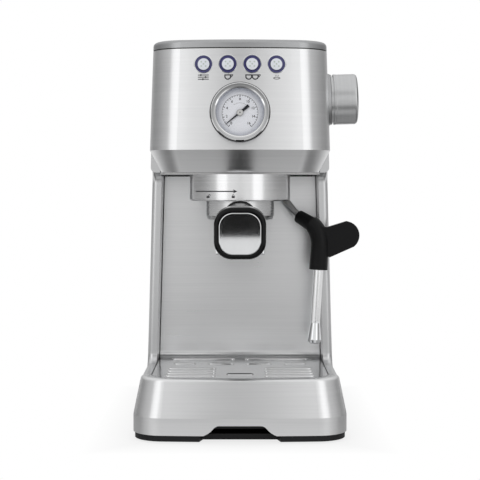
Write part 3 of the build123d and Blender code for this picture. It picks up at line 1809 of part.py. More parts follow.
screw_gap = 0.05
screw_face = 0.9
screw_length = 8.0
with BuildPart() as case_screws:
    for x, z in screw_spots:
        turn(
            Plane(origin=(x, bay_back, z), x_dir=(1, 0, 0), z_dir=(0, 1, 0)),
            (0, screw_face),
            (screw_head - 0.8, screw_face),
            (screw_head, screw_gap),
            (screw_shank, screw_gap),
            (screw_shank, -screw_length),
            (0, -screw_length),
        )
save(case_screws, "case_screws")
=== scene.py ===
import bmesh
import bpy
import json
import math
from mathutils import Matrix, Vector
from mathutils.bvhtree import BVHTree


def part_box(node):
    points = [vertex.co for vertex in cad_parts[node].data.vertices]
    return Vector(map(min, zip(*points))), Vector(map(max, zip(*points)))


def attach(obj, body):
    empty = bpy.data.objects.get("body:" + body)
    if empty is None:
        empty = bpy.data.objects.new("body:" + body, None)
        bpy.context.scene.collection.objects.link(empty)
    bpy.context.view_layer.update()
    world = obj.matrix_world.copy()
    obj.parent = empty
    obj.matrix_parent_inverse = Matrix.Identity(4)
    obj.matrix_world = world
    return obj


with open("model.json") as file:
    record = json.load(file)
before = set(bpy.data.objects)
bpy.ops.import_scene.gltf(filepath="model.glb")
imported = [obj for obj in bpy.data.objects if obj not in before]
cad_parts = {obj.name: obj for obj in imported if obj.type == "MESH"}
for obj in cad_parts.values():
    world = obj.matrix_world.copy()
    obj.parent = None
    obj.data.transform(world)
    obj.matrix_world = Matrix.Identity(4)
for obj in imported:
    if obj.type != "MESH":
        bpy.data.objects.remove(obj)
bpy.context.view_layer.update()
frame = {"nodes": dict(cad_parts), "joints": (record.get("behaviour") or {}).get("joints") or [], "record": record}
print("frame loaded:", len(frame["nodes"]), "nodes")

scene = bpy.context.scene
record = frame["record"]
bodyOf = {node: body for body, members in record["behaviour"]["bodies"].items() for node in members}
slotOf = {part["node"]: part["material_slot"] for part in record["subparts"]}
jointOf = {joint["name"]: joint for joint in frame["joints"]}
mm = 0.001
even = (1, 1, 1)
upright = (0, 0, 1)


def middle(node):
    low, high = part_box(node)
    return (low + high) / 2


# Sizes in millimetres count from the machine's own middle plane, from a plane 150 mm in front of
# its back, and from the table
machineMiddle = middle("base_pan").x
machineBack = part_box("side_panel_right")[1].y
backLevel = 150


def at(x, y, z):
    return Vector((machineMiddle + x * mm, machineBack + (y - backLevel) * mm, z * mm))


# Node graphs: a socket that takes part in sums, and a tree that collects nodes

class Value:
    def __init__(self, graph, socket):
        self.graph = graph
        self.socket = socket

    def calc(self, operation, other=0.0, swapped=False):
        pair = (other, self) if swapped else (self, other)
        return self.graph.add(
            "ShaderNodeMath", {"operation": operation}, {0: pair[0], 1: pair[1]})

    def __abs__(self):
        return self.calc("ABSOLUTE")

    def __add__(self, other):
        return self.calc("ADD", other)

    def __radd__(self, other):
        return self.calc("ADD", other, True)

    def __sub__(self, other):
        return self.calc("SUBTRACT", other)

    def __rsub__(self, other):
        return self.calc("SUBTRACT", other, True)

    def __mul__(self, other):
        return self.calc("MULTIPLY", other)

    def __truediv__(self, other):
        return self.calc("DIVIDE", other)

    def __mod__(self, other):
        return self.calc("FLOORED_MODULO", other)

    def __lt__(self, other):
        return self.calc("LESS_THAN", other)

    def atMost(self, other):
        return self.calc("MINIMUM", other)

    def atLeast(self, other):
        return self.calc("MAXIMUM", other)

    def sway(self, amount):
        # a noise turned into a change up and down from nothing
        return (self - 0.5) * amount


def opaque(colour):
    return colour if isinstance(colour, Value) else (*colour[:3], 1.0)


def dimmed(colour, share):
    return tuple(channel * share for channel in colour)


class Graph:
    def __init__(self, tree):
        self.tree = tree
        tree.nodes.clear()

    def add(self, kind, settings=None, sockets=None, out=0):
        node = self.tree.nodes.new(kind)
        for key, value in (settings or {}).items():
            if key == "stops":
                while len(node.color_ramp.elements) < len(value):
                    node.color_ramp.elements.new(1.0)
                for element, (position, colour) in zip(node.color_ramp.elements, value):
                    element.position = position
                    element.color = opaque(colour)
            else:
                setattr(node, key, value)
        for key, value in (sockets or {}).items():
            for item in value if isinstance(value, list) else [value]:
                if isinstance(item, Value):
                    self.tree.links.new(item.socket, node.inputs[key])
                else:
                    node.inputs[key].default_value = item
        return Value(self, node.outputs[out]) if node.outputs else None

    def rays(self, *kinds):
        seen = [self.add("ShaderNodeLightPath", {}, {}, kind) for kind in kinds]
        while len(seen) > 1:
            seen.append(seen.pop().atLeast(seen.pop()))
        return seen[0]

    def mix(self, first, second, share):
        return self.add("ShaderNodeMix", {"data_type": "RGBA"},
                        {0: share, 6: opaque(first), 7: opaque(second)}, 2)

    def ramp(self, share, low, high):
        # 0 at low and 1 at high, also where high is the smaller one
        return self.add("ShaderNodeMapRange", {"clamp": True},
                        {"Value": share, "From Min": low, "From Max": high})

    def edge(self, value, start, width):
        return self.ramp(value, start, start + width)

    def contrast(self, share, spread):
        return self.ramp(share, 0.5 - spread, 0.5 + spread)

    def vector(self, operation, first, second, out=0):
        sockets = {0: first} if second is None else {0: first, 1: second}
        return self.add("ShaderNodeVectorMath", {"operation": operation}, sockets, out)

    def parts(self, vector):
        return [self.add("ShaderNodeSeparateXYZ", {}, {0: vector}, axis) for axis in "XYZ"]

    def joined(self, **parts):
        return self.add("ShaderNodeCombineXYZ", {}, parts)

    def glow(self, colour):
        return self.add("ShaderNodeEmission", {}, {"Color": colour, "Strength": 1.0})


noiseDetail = {"wave": 1.0, "cloud": 2.0, "grain": 3.0, "sand": 4.0}


class Finish(Graph):
    def __init__(self, name):
        self.material = bpy.data.materials.new(name)
        self.material.use_nodes = True
        super().__init__(self.material.node_tree)

    def place(self, stretch=even, centre=(0, 0, 0)):
        own = self.add("ShaderNodeTexCoord", {}, {}, "Object")
        return self.vector("MULTIPLY", self.vector("SUBTRACT", own, tuple(centre)), tuple(stretch))

    def noise(self, scale, detail="grain", stretch=even, vector=None):
        return self.add("ShaderNodeTexNoise", {}, {
            "Vector": vector or self.place(stretch), "Scale": scale,
            "Detail": noiseDetail[detail]}, 0)

    def bump(self, height, depth):
        return self.add("ShaderNodeBump", {}, {
            "Height": height, "Distance": depth, "Strength": 1.0})

    def turned(self, centre, axis):
        # distance from an axis, and along it
        arm = self.place(even, centre)
        along = self.vector("DOT_PRODUCT", arm, tuple(axis), "Value")
        across = self.vector("CROSS_PRODUCT", arm, tuple(axis))
        return self.vector("LENGTH", across, None, "Value"), along

    def output(self, shader):
        self.add("ShaderNodeOutputMaterial", {}, {"Surface": shader})
        return self.material

    def close(self, sockets):
        values = {key: opaque(value) if key.endswith("Color") else value
                  for key, value in sockets.items()}
        return self.output(self.add("ShaderNodeBsdfPrincipled", {}, values))


# Finishes: each look is a dictionary beside the finish that uses it

steelLook = {"light": (0.85, 0.853, 0.857), "dark": (0.785, 0.789, 0.796),
             "rough": 0.3, "grain": 0.003 * mm, "anisotropy": 0.6}
deckLook = {"light": (0.76, 0.765, 0.77), "dark": (0.7, 0.705, 0.712),
            "rough": 0.15, "grain": 0.002 * mm, "anisotropy": 0.0}
sideLook = {"light": (0.7, 0.705, 0.71), "dark": (0.66, 0.665, 0.67),
            "rough": 0.32, "grain": 0.002 * mm, "anisotropy": 0.5}
rimLook = {"light": (0.48, 0.485, 0.492), "dark": (0.44, 0.445, 0.452),
           "rough": 0.36, "grain": 0.002 * mm, "anisotropy": 0.5}
scratches = {"coarse": 560.0, "fine": 2200.0, "along": 9.0, "cloud": 11.0, "quarterTurn": 0.25,
             "hairShare": 0.35, "streakShare": 0.45, "cloudShare": 0.2, "contrast": 0.2,
             "streakRough": 0.08, "cloudRough": 0.05}


def brushed(name, look=steelLook, grainRun="level"):
    # fine scratches: "level" runs round upright faces, "across" runs along X on flat ones
    finish = Finish(name)
    run = scratches["along"]

    def stretch(fine):
        return {"level": (run, run, fine), "across": (run, fine, run)}[grainRun]

    hair = finish.noise(1.0, "cloud", stretch(scratches["fine"]))
    streak = finish.noise(1.0, "grain", stretch(scratches["coarse"]))
    cloud = finish.noise(scratches["cloud"], "cloud")
    tone = (hair * scratches["hairShare"] + streak * scratches["streakShare"]
            + cloud * scratches["cloudShare"])
    uneven = streak.sway(scratches["streakRough"]) + cloud.sway(scratches["cloudRough"])
    return finish.close({
        "Base Color": finish.mix(look["dark"], look["light"],
                                 finish.contrast(tone, scratches["contrast"])),
        "Metallic": 1.0, "Roughness": look["rough"] + uneven,
        "Anisotropic": look["anisotropy"], "Anisotropic Rotation": scratches["quarterTurn"],
        "Normal": finish.bump(hair, look["grain"])})


ringLook = {"light": (0.74, 0.742, 0.745), "dark": (0.68, 0.683, 0.69),
            "rough": 0.27, "grain": 0.004 * mm}
turnedLook = {"light": (0.66, 0.665, 0.67), "dark": (0.58, 0.585, 0.59),
              "rough": 0.33, "grain": 0.008 * mm}
collarLook = {"light": (0.86, 0.862, 0.865), "dark": (0.78, 0.783, 0.79),
              "rough": 0.2, "grain": 0.005 * mm}
toolMarks = {"scale": 1500.0, "cloud": 24.0, "markShare": 0.7, "cloudShare": 0.3, "contrast": 0.18,
             "markRough": 0.08, "cloudRough": 0.05}
knobEdge = {"fromEnd": 2.2 * mm, "width": 0.9 * mm, "core": 0.4, "colour": (0.1, 0.1, 0.1),
            "share": 0.6}


def latheCut(name, look, centre, axis, edgeLevel=None):
    # rings from the turning tool, and darker where an edge line is cut
    finish = Finish(name)
    radius, along = finish.turned(centre, axis)
    rings = finish.joined(X=radius * toolMarks["scale"], Y=along * toolMarks["scale"])
    groove = finish.noise(1.0, "grain", vector=rings)
    cloud = finish.noise(toolMarks["cloud"], "cloud")
    tone = groove * toolMarks["markShare"] + cloud * toolMarks["cloudShare"]
    colour = finish.mix(look["dark"], look["light"], finish.contrast(tone, toolMarks["contrast"]))
    if edgeLevel:
        width = knobEdge["width"]
        line = finish.ramp(abs(along - edgeLevel), width, width * knobEdge["core"])
        colour = finish.mix(colour, knobEdge["colour"], line * knobEdge["share"])
    uneven = groove.sway(toolMarks["markRough"]) + cloud.sway(toolMarks["cloudRough"])
    return finish.close({
        "Base Color": colour, "Metallic": 1.0, "Roughness": look["rough"] + uneven,
        "Normal": finish.bump(groove, look["grain"])})


plating = {"wave": 50.0, "waveDepth": 0.006 * mm, "wiped": 160.0, "wipedStretch": (1, 1, 0.4),
           "wipedTone": 0.94, "wipedRough": 0.1}


def polished(name, colour=(0.86, 0.87, 0.88), rough=0.045):
    # plated metal: a mirror with a faint wave and a few dull wiped patches
    finish = Finish(name)
    wave = finish.noise(plating["wave"], "wave")
    wiped = finish.noise(plating["wiped"], "sand", plating["wipedStretch"])
    return finish.close({
        "Base Color": finish.mix(colour, dimmed(colour, plating["wipedTone"]), wiped),
        "Metallic": 1.0, "Roughness": rough + (wiped - 0.5).atLeast(0.0) * plating["wipedRough"],
        "Normal": finish.bump(wave, plating["waveDepth"])})


mould = {"cloud": 22.0, "pitShare": 0.6, "cloudShare": 0.4, "contrast": 0.15, "pitRough": 0.08,
         "cloudRough": 0.06, "lift": 1.2, "least": 0.002, "coatRough": 0.06}


def moulded(name, colour, rough=0.45, grain=0.02 * mm, scale=900.0, coat=0.0, gloss=0.5):
    # moulded plastic or rubber: spark-eroded grain, with slightly uneven gloss
    finish = Finish(name)
    pit = finish.noise(scale, "grain")
    cloud = finish.noise(mould["cloud"], "grain")
    lifted = tuple(channel * mould["lift"] + mould["least"] for channel in colour)
    tone = pit * mould["pitShare"] + cloud * mould["cloudShare"]
    uneven = pit.sway(mould["pitRough"]) + cloud.sway(mould["cloudRough"])
    return finish.close({
        "Base Color": finish.mix(colour, lifted, finish.contrast(tone, mould["contrast"])),
        "Roughness": rough + uneven, "Specular IOR Level": gloss,
        "Coat Weight": coat, "Coat Roughness": mould["coatRough"],
        "Normal": finish.bump(pit, grain)})


casting = {"sand": 520.0, "cloud": 30.0, "shade": 0.8, "contrast": 0.15, "sandRough": 0.3}


def castMetal(name, colour, rough=0.5, grain=0.2 * mm):
    finish = Finish(name)
    sand = finish.noise(casting["sand"], "sand")
    cloud = finish.noise(casting["cloud"], "grain")
    return finish.close({
        "Base Color": finish.mix(dimmed(colour, casting["shade"]), colour,
                                 finish.contrast(cloud, casting["contrast"])),
        "Metallic": 1.0, "Roughness": rough + sand.sway(casting["sandRough"]),
        "Normal": finish.bump(sand, grain)})


clearing = {"cloud": 20.0, "cloudRough": 0.04, "facing": 0.35, "index": 1.49, "wave": 0.01 * mm}


def clearPlastic(name, tint, alpha, rough, glancingSheen=0.45):
    # clear plastic whose tint thickens towards its glancing edges, a painted sheen
    finish = Finish(name)
    cloud = finish.noise(clearing["cloud"], "cloud")
    # painted sheen: the tint grows more opaque where the surface turns away, standing in for the reflection off
    # the edges
    rim = finish.add("ShaderNodeLayerWeight", {}, {"Blend": clearing["facing"]}, "Facing")
    return finish.close({
        "Base Color": tint, "Roughness": rough + cloud * clearing["cloudRough"],
        "Alpha": (alpha + rim * glancingSheen).atMost(1.0), "IOR": clearing["index"],
        "Normal": finish.bump(cloud, clearing["wave"])})


boardLook = {"mask": (0.012, 0.09, 0.035), "track": (0.04, 0.2, 0.08), "cell": (260, 260, 260),
             "trackEdge": (0.42, 0.5), "rough": 0.3, "trackRough": 0.2, "height": 0.05 * mm}


def circuitFinish(name):
    # solder mask with copper tracks under it
    finish = Finish(name)
    cell = finish.add("ShaderNodeTexVoronoi", {"distance": "MANHATTAN", "feature": "F1"},
                      {"Vector": finish.place(boardLook["cell"]), "Scale": 1.0}, "Distance")
    track = finish.ramp(cell, *boardLook["trackEdge"])
    return finish.close({
        "Base Color": finish.mix(boardLook["mask"], boardLook["track"], track),
        "Roughness": boardLook["rough"] + track * boardLook["trackRough"],
        "Normal": finish.bump(track, boardLook["height"])})


capLook = {"dome": (0.8, 0.83, 0.88), "rim": (0.035, 0.035, 0.16), "domeRadius": 5.5 * mm,
           "mark": (0.5, 0.58, 0.5), "markReach": 2.1 * mm, "markRadius": 1.2 * mm,
           "markCore": 0.4, "markShare": 0.9, "rough": 0.3, "rimGloss": 0.1,
           "cloud": 700.0, "cloudRough": 0.05, "coat": 0.5, "coatRough": 0.05,
           "grain": 0.004 * mm}
paintEdge = 0.2 * mm  # the width over which one paint gives way to the next


def capFinish(name, node, axis):
    # a pearly dome in a dark blue edge, with five faint dots behind it
    finish = Finish(name)
    centre = middle(node)
    centre.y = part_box(node)[0].y
    radius, along = finish.turned(centre, axis)
    x, y, z = finish.parts(finish.place(even, centre))
    side = abs(x) - capLook["markReach"]
    rise = abs(z) - capLook["markReach"]
    corner = (side * side + rise * rise).calc("SQRT")
    dots = finish.ramp(corner.atMost(radius), capLook["markRadius"],
                       capLook["markRadius"] * capLook["markCore"])
    cloud = finish.noise(capLook["cloud"], "cloud")
    dome = finish.mix(capLook["dome"], capLook["mark"], dots * capLook["markShare"])
    rim = finish.edge(radius, capLook["domeRadius"], paintEdge)
    return finish.close({
        "Base Color": finish.mix(dome, capLook["rim"], rim), "Metallic": 0.0,
        "Roughness": capLook["rough"] - rim * capLook["rimGloss"]
        + cloud.sway(capLook["cloudRough"]),
        "Coat Weight": capLook["coat"], "Coat Roughness": capLook["coatRough"],
        "Normal": finish.bump(cloud, capLook["grain"])})


bezelLook = {"ring": (0.03, 0.03, 0.14), "ringRadius": 8.3 * mm, "steel": (0.86, 0.87, 0.88),
             "rough": 0.14, "cloud": 60.0, "cloudRough": 0.06, "grain": 0.003 * mm}


def buttonRingFinish(name):
    # plated rim outside, dark blue well inside, the same round each of the four buttons
    finish = Finish(name)
    row = [middle(node) for node in buttonJoints]
    pitch = (row[-1].x - row[0].x) / (len(row) - 1)
    x, y, z = finish.parts(finish.place(even, row[0]))
    side = (x + pitch / 2) % pitch - pitch / 2
    radius = (side * side + z * z).calc("SQRT")
    plated = finish.edge(radius, bezelLook["ringRadius"], paintEdge)
    cloud = finish.noise(bezelLook["cloud"], "cloud")
    return finish.close({
        "Base Color": finish.mix(bezelLook["ring"], bezelLook["steel"], plated),
        "Metallic": plated, "Roughness": bezelLook["rough"] + cloud.sway(bezelLook["cloudRough"]),
        "Normal": finish.bump(cloud, bezelLook["grain"])})


# the edge, step and groove tones are painted shade: a shadow in the outer gap, a shaded inner shoulder and a
# shaded groove line
gaugeLook = {"steel": (0.88, 0.885, 0.89), "edge": (0.035, 0.035, 0.04), "shadowGapRadius": 27.9 * mm,
             "shadowGapWidth": 0.4 * mm, "step": (0.42, 0.43, 0.45), "shadedStepRadius": 23.8 * mm,
             "shadedStepWidth": 0.6 * mm, "grooveShadeRadius": 26.2 * mm, "grooveShadeReach": (0.4 * mm, 0.1 * mm),
             "grooveShadeShare": 0.5, "rough": 0.07, "cloud": 70.0, "cloudRough": 0.04,
             "grain": 0.004 * mm}


def gaugeRingFinish(name, joint):
    # a bright rolled ring with painted shade: a darker shoulder inside it, a dark groove line round it and a
    # painted shadow in the gap at its outer edge
    finish = Finish(name)
    radius, along = finish.turned(joint["pos_m"], joint["axis"])
    # painted shadow in the gap at the outer edge, then painted shade on the inner shoulder and in the groove line
    edge = finish.edge(radius, gaugeLook["shadowGapRadius"], gaugeLook["shadowGapWidth"])
    step = finish.edge(radius, gaugeLook["shadedStepRadius"], -gaugeLook["shadedStepWidth"])
    groove = finish.ramp(abs(radius - gaugeLook["grooveShadeRadius"]), *gaugeLook["grooveShadeReach"])
    cloud = finish.noise(gaugeLook["cloud"], "cloud")
    steel = finish.mix(gaugeLook["steel"], gaugeLook["step"],
                       step.atLeast(groove * gaugeLook["grooveShadeShare"]))
    return finish.close({
        "Base Color": finish.mix(steel, gaugeLook["edge"], edge), "Metallic": 1.0,
        "Roughness": gaugeLook["rough"] + cloud.sway(gaugeLook["cloudRough"]),
        "Normal": finish.bump(cloud, gaugeLook["grain"])})


needleLook = {"hubRadius": 3.1 * mm, "pinRadius": 0.7 * mm, "black": (0.012, 0.013, 0.018),
              "hub": (0.75, 0.75, 0.74), "rough": 0.45, "hubGloss": 0.15, "gloss": 0.2,
              "grain": 900.0, "grainRough": 0.1, "grainDepth": 0.003 * mm}


def needleFinish(name, joint):
    # black arm, silver boss round the spindle
    finish = Finish(name)
    radius, along = finish.turned(joint["pos_m"], joint["axis"])
    boss = finish.edge(radius, needleLook["hubRadius"], -paintEdge)
    hub = boss - finish.edge(radius, needleLook["pinRadius"], -paintEdge)
    grain = finish.noise(needleLook["grain"], "cloud")
    return finish.close({
        "Base Color": finish.mix(needleLook["black"], needleLook["hub"], hub), "Metallic": hub,
        "Roughness": needleLook["rough"] + grain.sway(needleLook["grainRough"])
        - hub * needleLook["hubGloss"],
        "Specular IOR Level": needleLook["gloss"],
        "Normal": finish.bump(grain, needleLook["grainDepth"])})


dialLook = {"paper": (0.93, 0.94, 0.985), "shade": (0.58, 0.61, 0.7), "shadeShare": 0.8,
            "shadeReach": (17.8 * mm, 23.2 * mm), "fibre": 1400.0, "fibreTone": 0.94,
            "rough": 0.5, "fibreRough": 0.1, "fibreDepth": 0.004 * mm}


def dialFinish(name, joint):
    # printed paper, greyer where the wall of the case shades it
    finish = Finish(name)
    radius, along = finish.turned(joint["pos_m"], joint["axis"])
    fibre = finish.noise(dialLook["fibre"], "grain")
    paper = finish.mix(dialLook["paper"], dimmed(dialLook["paper"], dialLook["fibreTone"]), fibre)
    shade = finish.ramp(radius, *dialLook["shadeReach"]) * dialLook["shadeShare"]
    return finish.close({
        "Base Color": finish.mix(paper, dialLook["shade"], shade),
        "Roughness": dialLook["rough"] + fibre.sway(dialLook["fibreRough"]),
        "Normal": finish.bump(fibre, dialLook["fibreDepth"])})


buttonJoints = {"button_program": "program_press", "button_one_cup": "one_cup_press",
                "button_two_cup": "two_cup_press", "button_steam": "steam_press"}
needleJoint = jointOf["needle_turn"]
knobJoint = jointOf["steam_knob_turn"]
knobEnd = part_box("steam_knob")[1].x - knobJoint["pos_m"][0]
groupMiddle = middle("group_collar")

steelFront = brushed("brushedSteel")
rimFinish = brushed("rimSteel", rimLook)
slotLipFinish = polished("lipSteel", (0.88, 0.885, 0.89), 0.12)
printBlack = moulded("printBlack", (0.02, 0.02, 0.024), rough=0.55, grain=0.003 * mm)
printGrey = moulded("printGrey", (0.2, 0.2, 0.2), rough=0.55, grain=0.003 * mm)

finishOf = {
    "steel_front": steelFront,
    "steel_dark": rimFinish,
    "steel_plain": brushed("brushedDeck", deckLook, "across"),
    "side_silver": brushed("sideSilver", sideLook),
    "alu": latheCut("knobMetal", turnedLook, knobJoint["pos_m"], knobJoint["axis"],
                    knobEnd - knobEdge["fromEnd"]),
    "alu_cast": castMetal("castAluminium", (0.6, 0.61, 0.62)),
    "brass": castMetal("brass", (0.72, 0.55, 0.28), rough=0.32, grain=0.04 * mm),
    "chrome": polished("chrome"),
    "black_plastic": moulded("blackPlastic", (0.01, 0.01, 0.011), gloss=0.25),
    "black_gloss": moulded("blackGloss", (0.002, 0.002, 0.0025), rough=0.14, grain=0.001 * mm,
                           gloss=0.22),
    "white_plastic": moulded("whitePlastic", (0.7, 0.7, 0.68), rough=0.42),
    "rubber_black": moulded("gripRubber", (0.004, 0.004, 0.0045), rough=0.4, grain=0.004 * mm,
                            scale=1300.0, gloss=0.18),
    "rubber_clear": moulded("silicone", (0.62, 0.62, 0.6), rough=0.4),
    "light_ring": moulded("ringBlue", (0.03, 0.03, 0.14), rough=0.2, grain=0.003 * mm, coat=0.5),
    "dial_white": dialFinish("dialPaper", needleJoint),
    "needle_black": needleFinish("needlePaint", needleJoint),
    "clear": clearPlastic("lensClear", (0.95, 0.97, 1.0), 0.006, 0.03, 0.2),
    "tank": clearPlastic("tankSmoke", (0.28, 0.32, 0.36), 0.32, 0.1),
    "board": circuitFinish("circuitBoard"),
}
ownFinish = {
    "group_collar": latheCut("collarSteel", collarLook, groupMiddle, upright),
    "portafilter_body": latheCut("portafilterSteel", ringLook, groupMiddle, upright),
    "head_underside": moulded("undersideGrey", (0.5, 0.5, 0.5)),
    "wand_tube": polished("tubeSteel", (0.88, 0.885, 0.89), 0.2),
    "back_panel": steelFront,
    "knob_collar": rimFinish,
    "button_bezels": buttonRingFinish("buttonRings"),
    "gauge_bezel": gaugeRingFinish("gaugeRing", needleJoint),
}
for node, joint in buttonJoints.items():
    ownFinish[node] = capFinish(node + "Cap", node, jointOf[joint]["axis"])
for name, node in frame["nodes"].items():
    node.data.materials.clear()
    node.data.materials.append(ownFinish.get(name) or finishOf[slotOf[name]])
print("finishes made:", len(bpy.data.materials))


# Pieces

def keep(piece, body, finish):
    # the last step for every piece
    piece.data.materials.clear()
    piece.data.materials.append(finish)
    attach(piece, body)


def newPiece(name, mesh):
    piece = bpy.data.objects.new(name, mesh)
    scene.collection.objects.link(piece)
    return piece


def settledMesh(holder):
    settled = bpy.context.evaluated_depsgraph_get()
    return bpy.data.meshes.new_from_object(holder.evaluated_get(settled), depsgraph=settled)


def curveMesh(curve):
    # the filled shape of a curve or a text as a plain mesh
    holder = newPiece(curve.name, curve)
    mesh = settledMesh(holder)
    bpy.data.objects.remove(holder)
    return mesh


# Patterns grown by Geometry Nodes

class Pattern(Graph):
    def __init__(self, name, inputs):
        super().__init__(bpy.data.node_groups.new(name, "GeometryNodeTree"))
        sockets = self.tree.interface
        sockets.new_socket("Geometry", in_out="OUTPUT", socket_type="NodeSocketGeometry")
        self.keys = {
            label: sockets.new_socket(
                label, in_out="INPUT", socket_type="NodeSocket" + kind).identifier
            for label, kind in inputs.items()}
        self.inlet = self.tree.nodes.new("NodeGroupInput")

    def given(self):
        # the named inputs, in the order in which they were stated
        return [Value(self, self.inlet.outputs[label]) for label in self.keys]

    def close(self, shapes, finish):
        joined = self.add("GeometryNodeJoinGeometry", {}, {0: shapes})
        real = self.add("GeometryNodeRealizeInstances", {}, {"Geometry": joined})
        done = self.add("GeometryNodeSetMaterial", {}, {"Geometry": real, "Material": finish})
        self.add("NodeGroupOutput", {}, {0: done})
        return self

    def grow(self, name, values):
        # the pattern's result as a plain mesh, the modifier gone
        piece = newPiece(name, bpy.data.meshes.new(name))
        modifier = piece.modifiers.new("pattern", "NODES")
        modifier.node_group = self.tree
        for label, value in values.items():
            modifier[self.keys[label]] = value
        mesh = settledMesh(piece)
        piece.modifiers.clear()
        piece.data = mesh
        return piece


dialLift = 0.02 * mm


def dialFrame(joint):
    # the dial's own axes: X to the right, Y up the dial, Z out of it, lifted off its paper
    pivot = Vector(joint["pos_m"])
    outward = -Vector(joint["axis"])
    right = Vector((1, 0, 0))
    turn = Matrix((right, outward.cross(right), outward)).transposed().to_4x4()
    paper = max((vertex.co - pivot).dot(outward)
                for vertex in frame["nodes"]["gauge_dial"].data.vertices)
    return Matrix.Translation(pivot + outward * (paper + dialLift)) @ turn


scaleMarks = {"Count": 33, "Every": 4, "First": math.radians(-140.6), "Last": math.radians(140.6),
              "Radius": 17.3 * mm, "Short": 1.1 * mm, "Long": 2.0 * mm, "Width": 0.4 * mm,
              "Height": 0.06 * mm}
innerArc = {"First": math.radians(-38), "Last": math.radians(52), "Radius": 9.6 * mm,
            "Width": 0.25 * mm}
dialPrint = {"mainWidth": 1.6, "arcWidth": 0.8, "arcSteps": 72, "innerHeight": 0.05 * mm}


def arcLine(pattern, first, last, radius, width, height):
    arc = pattern.add("GeometryNodeCurveArc", {}, {
        "Resolution": dialPrint["arcSteps"], "Radius": radius,
        "Start Angle": math.pi / 2 - last, "Sweep Angle": last - first})
    section = pattern.add("GeometryNodeCurvePrimitiveQuadrilateral", {}, {
        "Width": width, "Height": height})
    return pattern.add("GeometryNodeCurveToMesh", {}, {
        "Curve": arc, "Profile Curve": section, "Fill Caps": True})


def tickPattern():
    pattern = Pattern("scaleTicks", {
        key: "Int" if isinstance(value, int) else "Float" for key, value in scaleMarks.items()})
    count, every, first, last, radius, short, long, width, height = pattern.given()
    step = pattern.add("GeometryNodeInputIndex")
    angle = first + (last - first) * step / (count - 1)
    main = (step % every) < 0.5
    length = short + (long - short) * main
    reach = radius - length * 0.5
    spot = pattern.joined(X=angle.calc("SINE") * reach, Y=angle.calc("COSINE") * reach)
    placed = pattern.add("GeometryNodeSetPosition", {}, {
        "Geometry": pattern.add("GeometryNodeMeshLine", {}, {"Count": count}), "Position": spot})
    bar = pattern.add("GeometryNodeMeshCube", {}, {
        "Size": pattern.joined(X=width, Y=1.0, Z=height)})
    ticks = pattern.add("GeometryNodeInstanceOnPoints", {}, {
        "Points": placed, "Instance": bar, "Rotation": pattern.joined(Z=0 - angle),
        "Scale": pattern.joined(X=1.0 + main * (dialPrint["mainWidth"] - 1), Y=length, Z=1.0)})
    ring = arcLine(pattern, first, last, radius, width * dialPrint["arcWidth"], height)
    return pattern.close([ticks, ring], printBlack)


def arcPattern():
    pattern = Pattern("innerScale", {key: "Float" for key in innerArc})
    return pattern.close([arcLine(pattern, *pattern.given(), dialPrint["innerHeight"])], printGrey)


numerals = {"size": 3.4 * mm, "radius": 13.2 * mm, "values": range(0, 17, 2), "thick": 0.03 * mm,
            "weight": 0.02}


def numeralMesh(value):
    curve = bpy.data.curves.new("numeral", "FONT")
    curve.body = str(value)
    curve.size = numerals["size"]
    curve.align_x = "CENTER"
    curve.align_y = "CENTER"
    curve.extrude = numerals["thick"]
    curve.offset = numerals["size"] * numerals["weight"]
    return curveMesh(curve)


def makeDial():
    seat = dialFrame(needleJoint)
    for name, pattern, values, finish in (
            ("dial.scale", tickPattern(), scaleMarks, printBlack),
            ("dial.inner_scale", arcPattern(), innerArc, printGrey)):
        piece = pattern.grow(name, values)
        piece.data.transform(seat)
        keep(piece, "machine", finish)
    work = bmesh.new()
    last = len(numerals["values"]) - 1
    for step, value in enumerate(numerals["values"]):
        turn = scaleMarks["First"] + (scaleMarks["Last"] - scaleMarks["First"]) * step / last
        spot = Vector((math.sin(turn), math.cos(turn), 0)) * numerals["radius"]
        mesh = numeralMesh(value)
        mesh.transform(seat @ Matrix.Translation(spot))
        work.from_mesh(mesh)
    mesh = bpy.data.meshes.new("dial.numbers")
    bmesh.ops.remove_doubles(work, verts=work.verts, dist=0.001 * mm)
    work.to_mesh(mesh)
    work.free()
    keep(newPiece("dial.numbers", mesh), "machine", printBlack)


# Rows of slots in the grille, in the order front, back, outer middle and inner middle
slotRows = (
    {"Rows": 4, "Row Step": 16.2 * mm, "Columns": 2, "Column Step": 94.5 * mm,
     "Length": 45.5 * mm, "at": (0, -94.2)},
    {"Rows": 1, "Row Step": 0.0, "Columns": 2, "Column Step": 77.0 * mm,
     "Length": 64.0 * mm, "at": (0, -3.5)},
    {"Rows": 1, "Row Step": 0.0, "Columns": 2, "Column Step": 112.0 * mm,
     "Length": 20.0 * mm, "at": (0, -36.0)},
    {"Rows": 1, "Row Step": 0.0, "Columns": 2, "Column Step": 38.0 * mm,
     "Length": 24.0 * mm, "at": (0, -36.0)},
)
lip = {"slotWidth": 5.0 * mm, "stand": 0.5 * mm, "bead": 0.95 * mm, "level": 59.1,
       "cornerSteps": 8, "beadSteps": 10}
halfRound = 0.499  # a slot's corner radius as a share of its width, just short of closing it


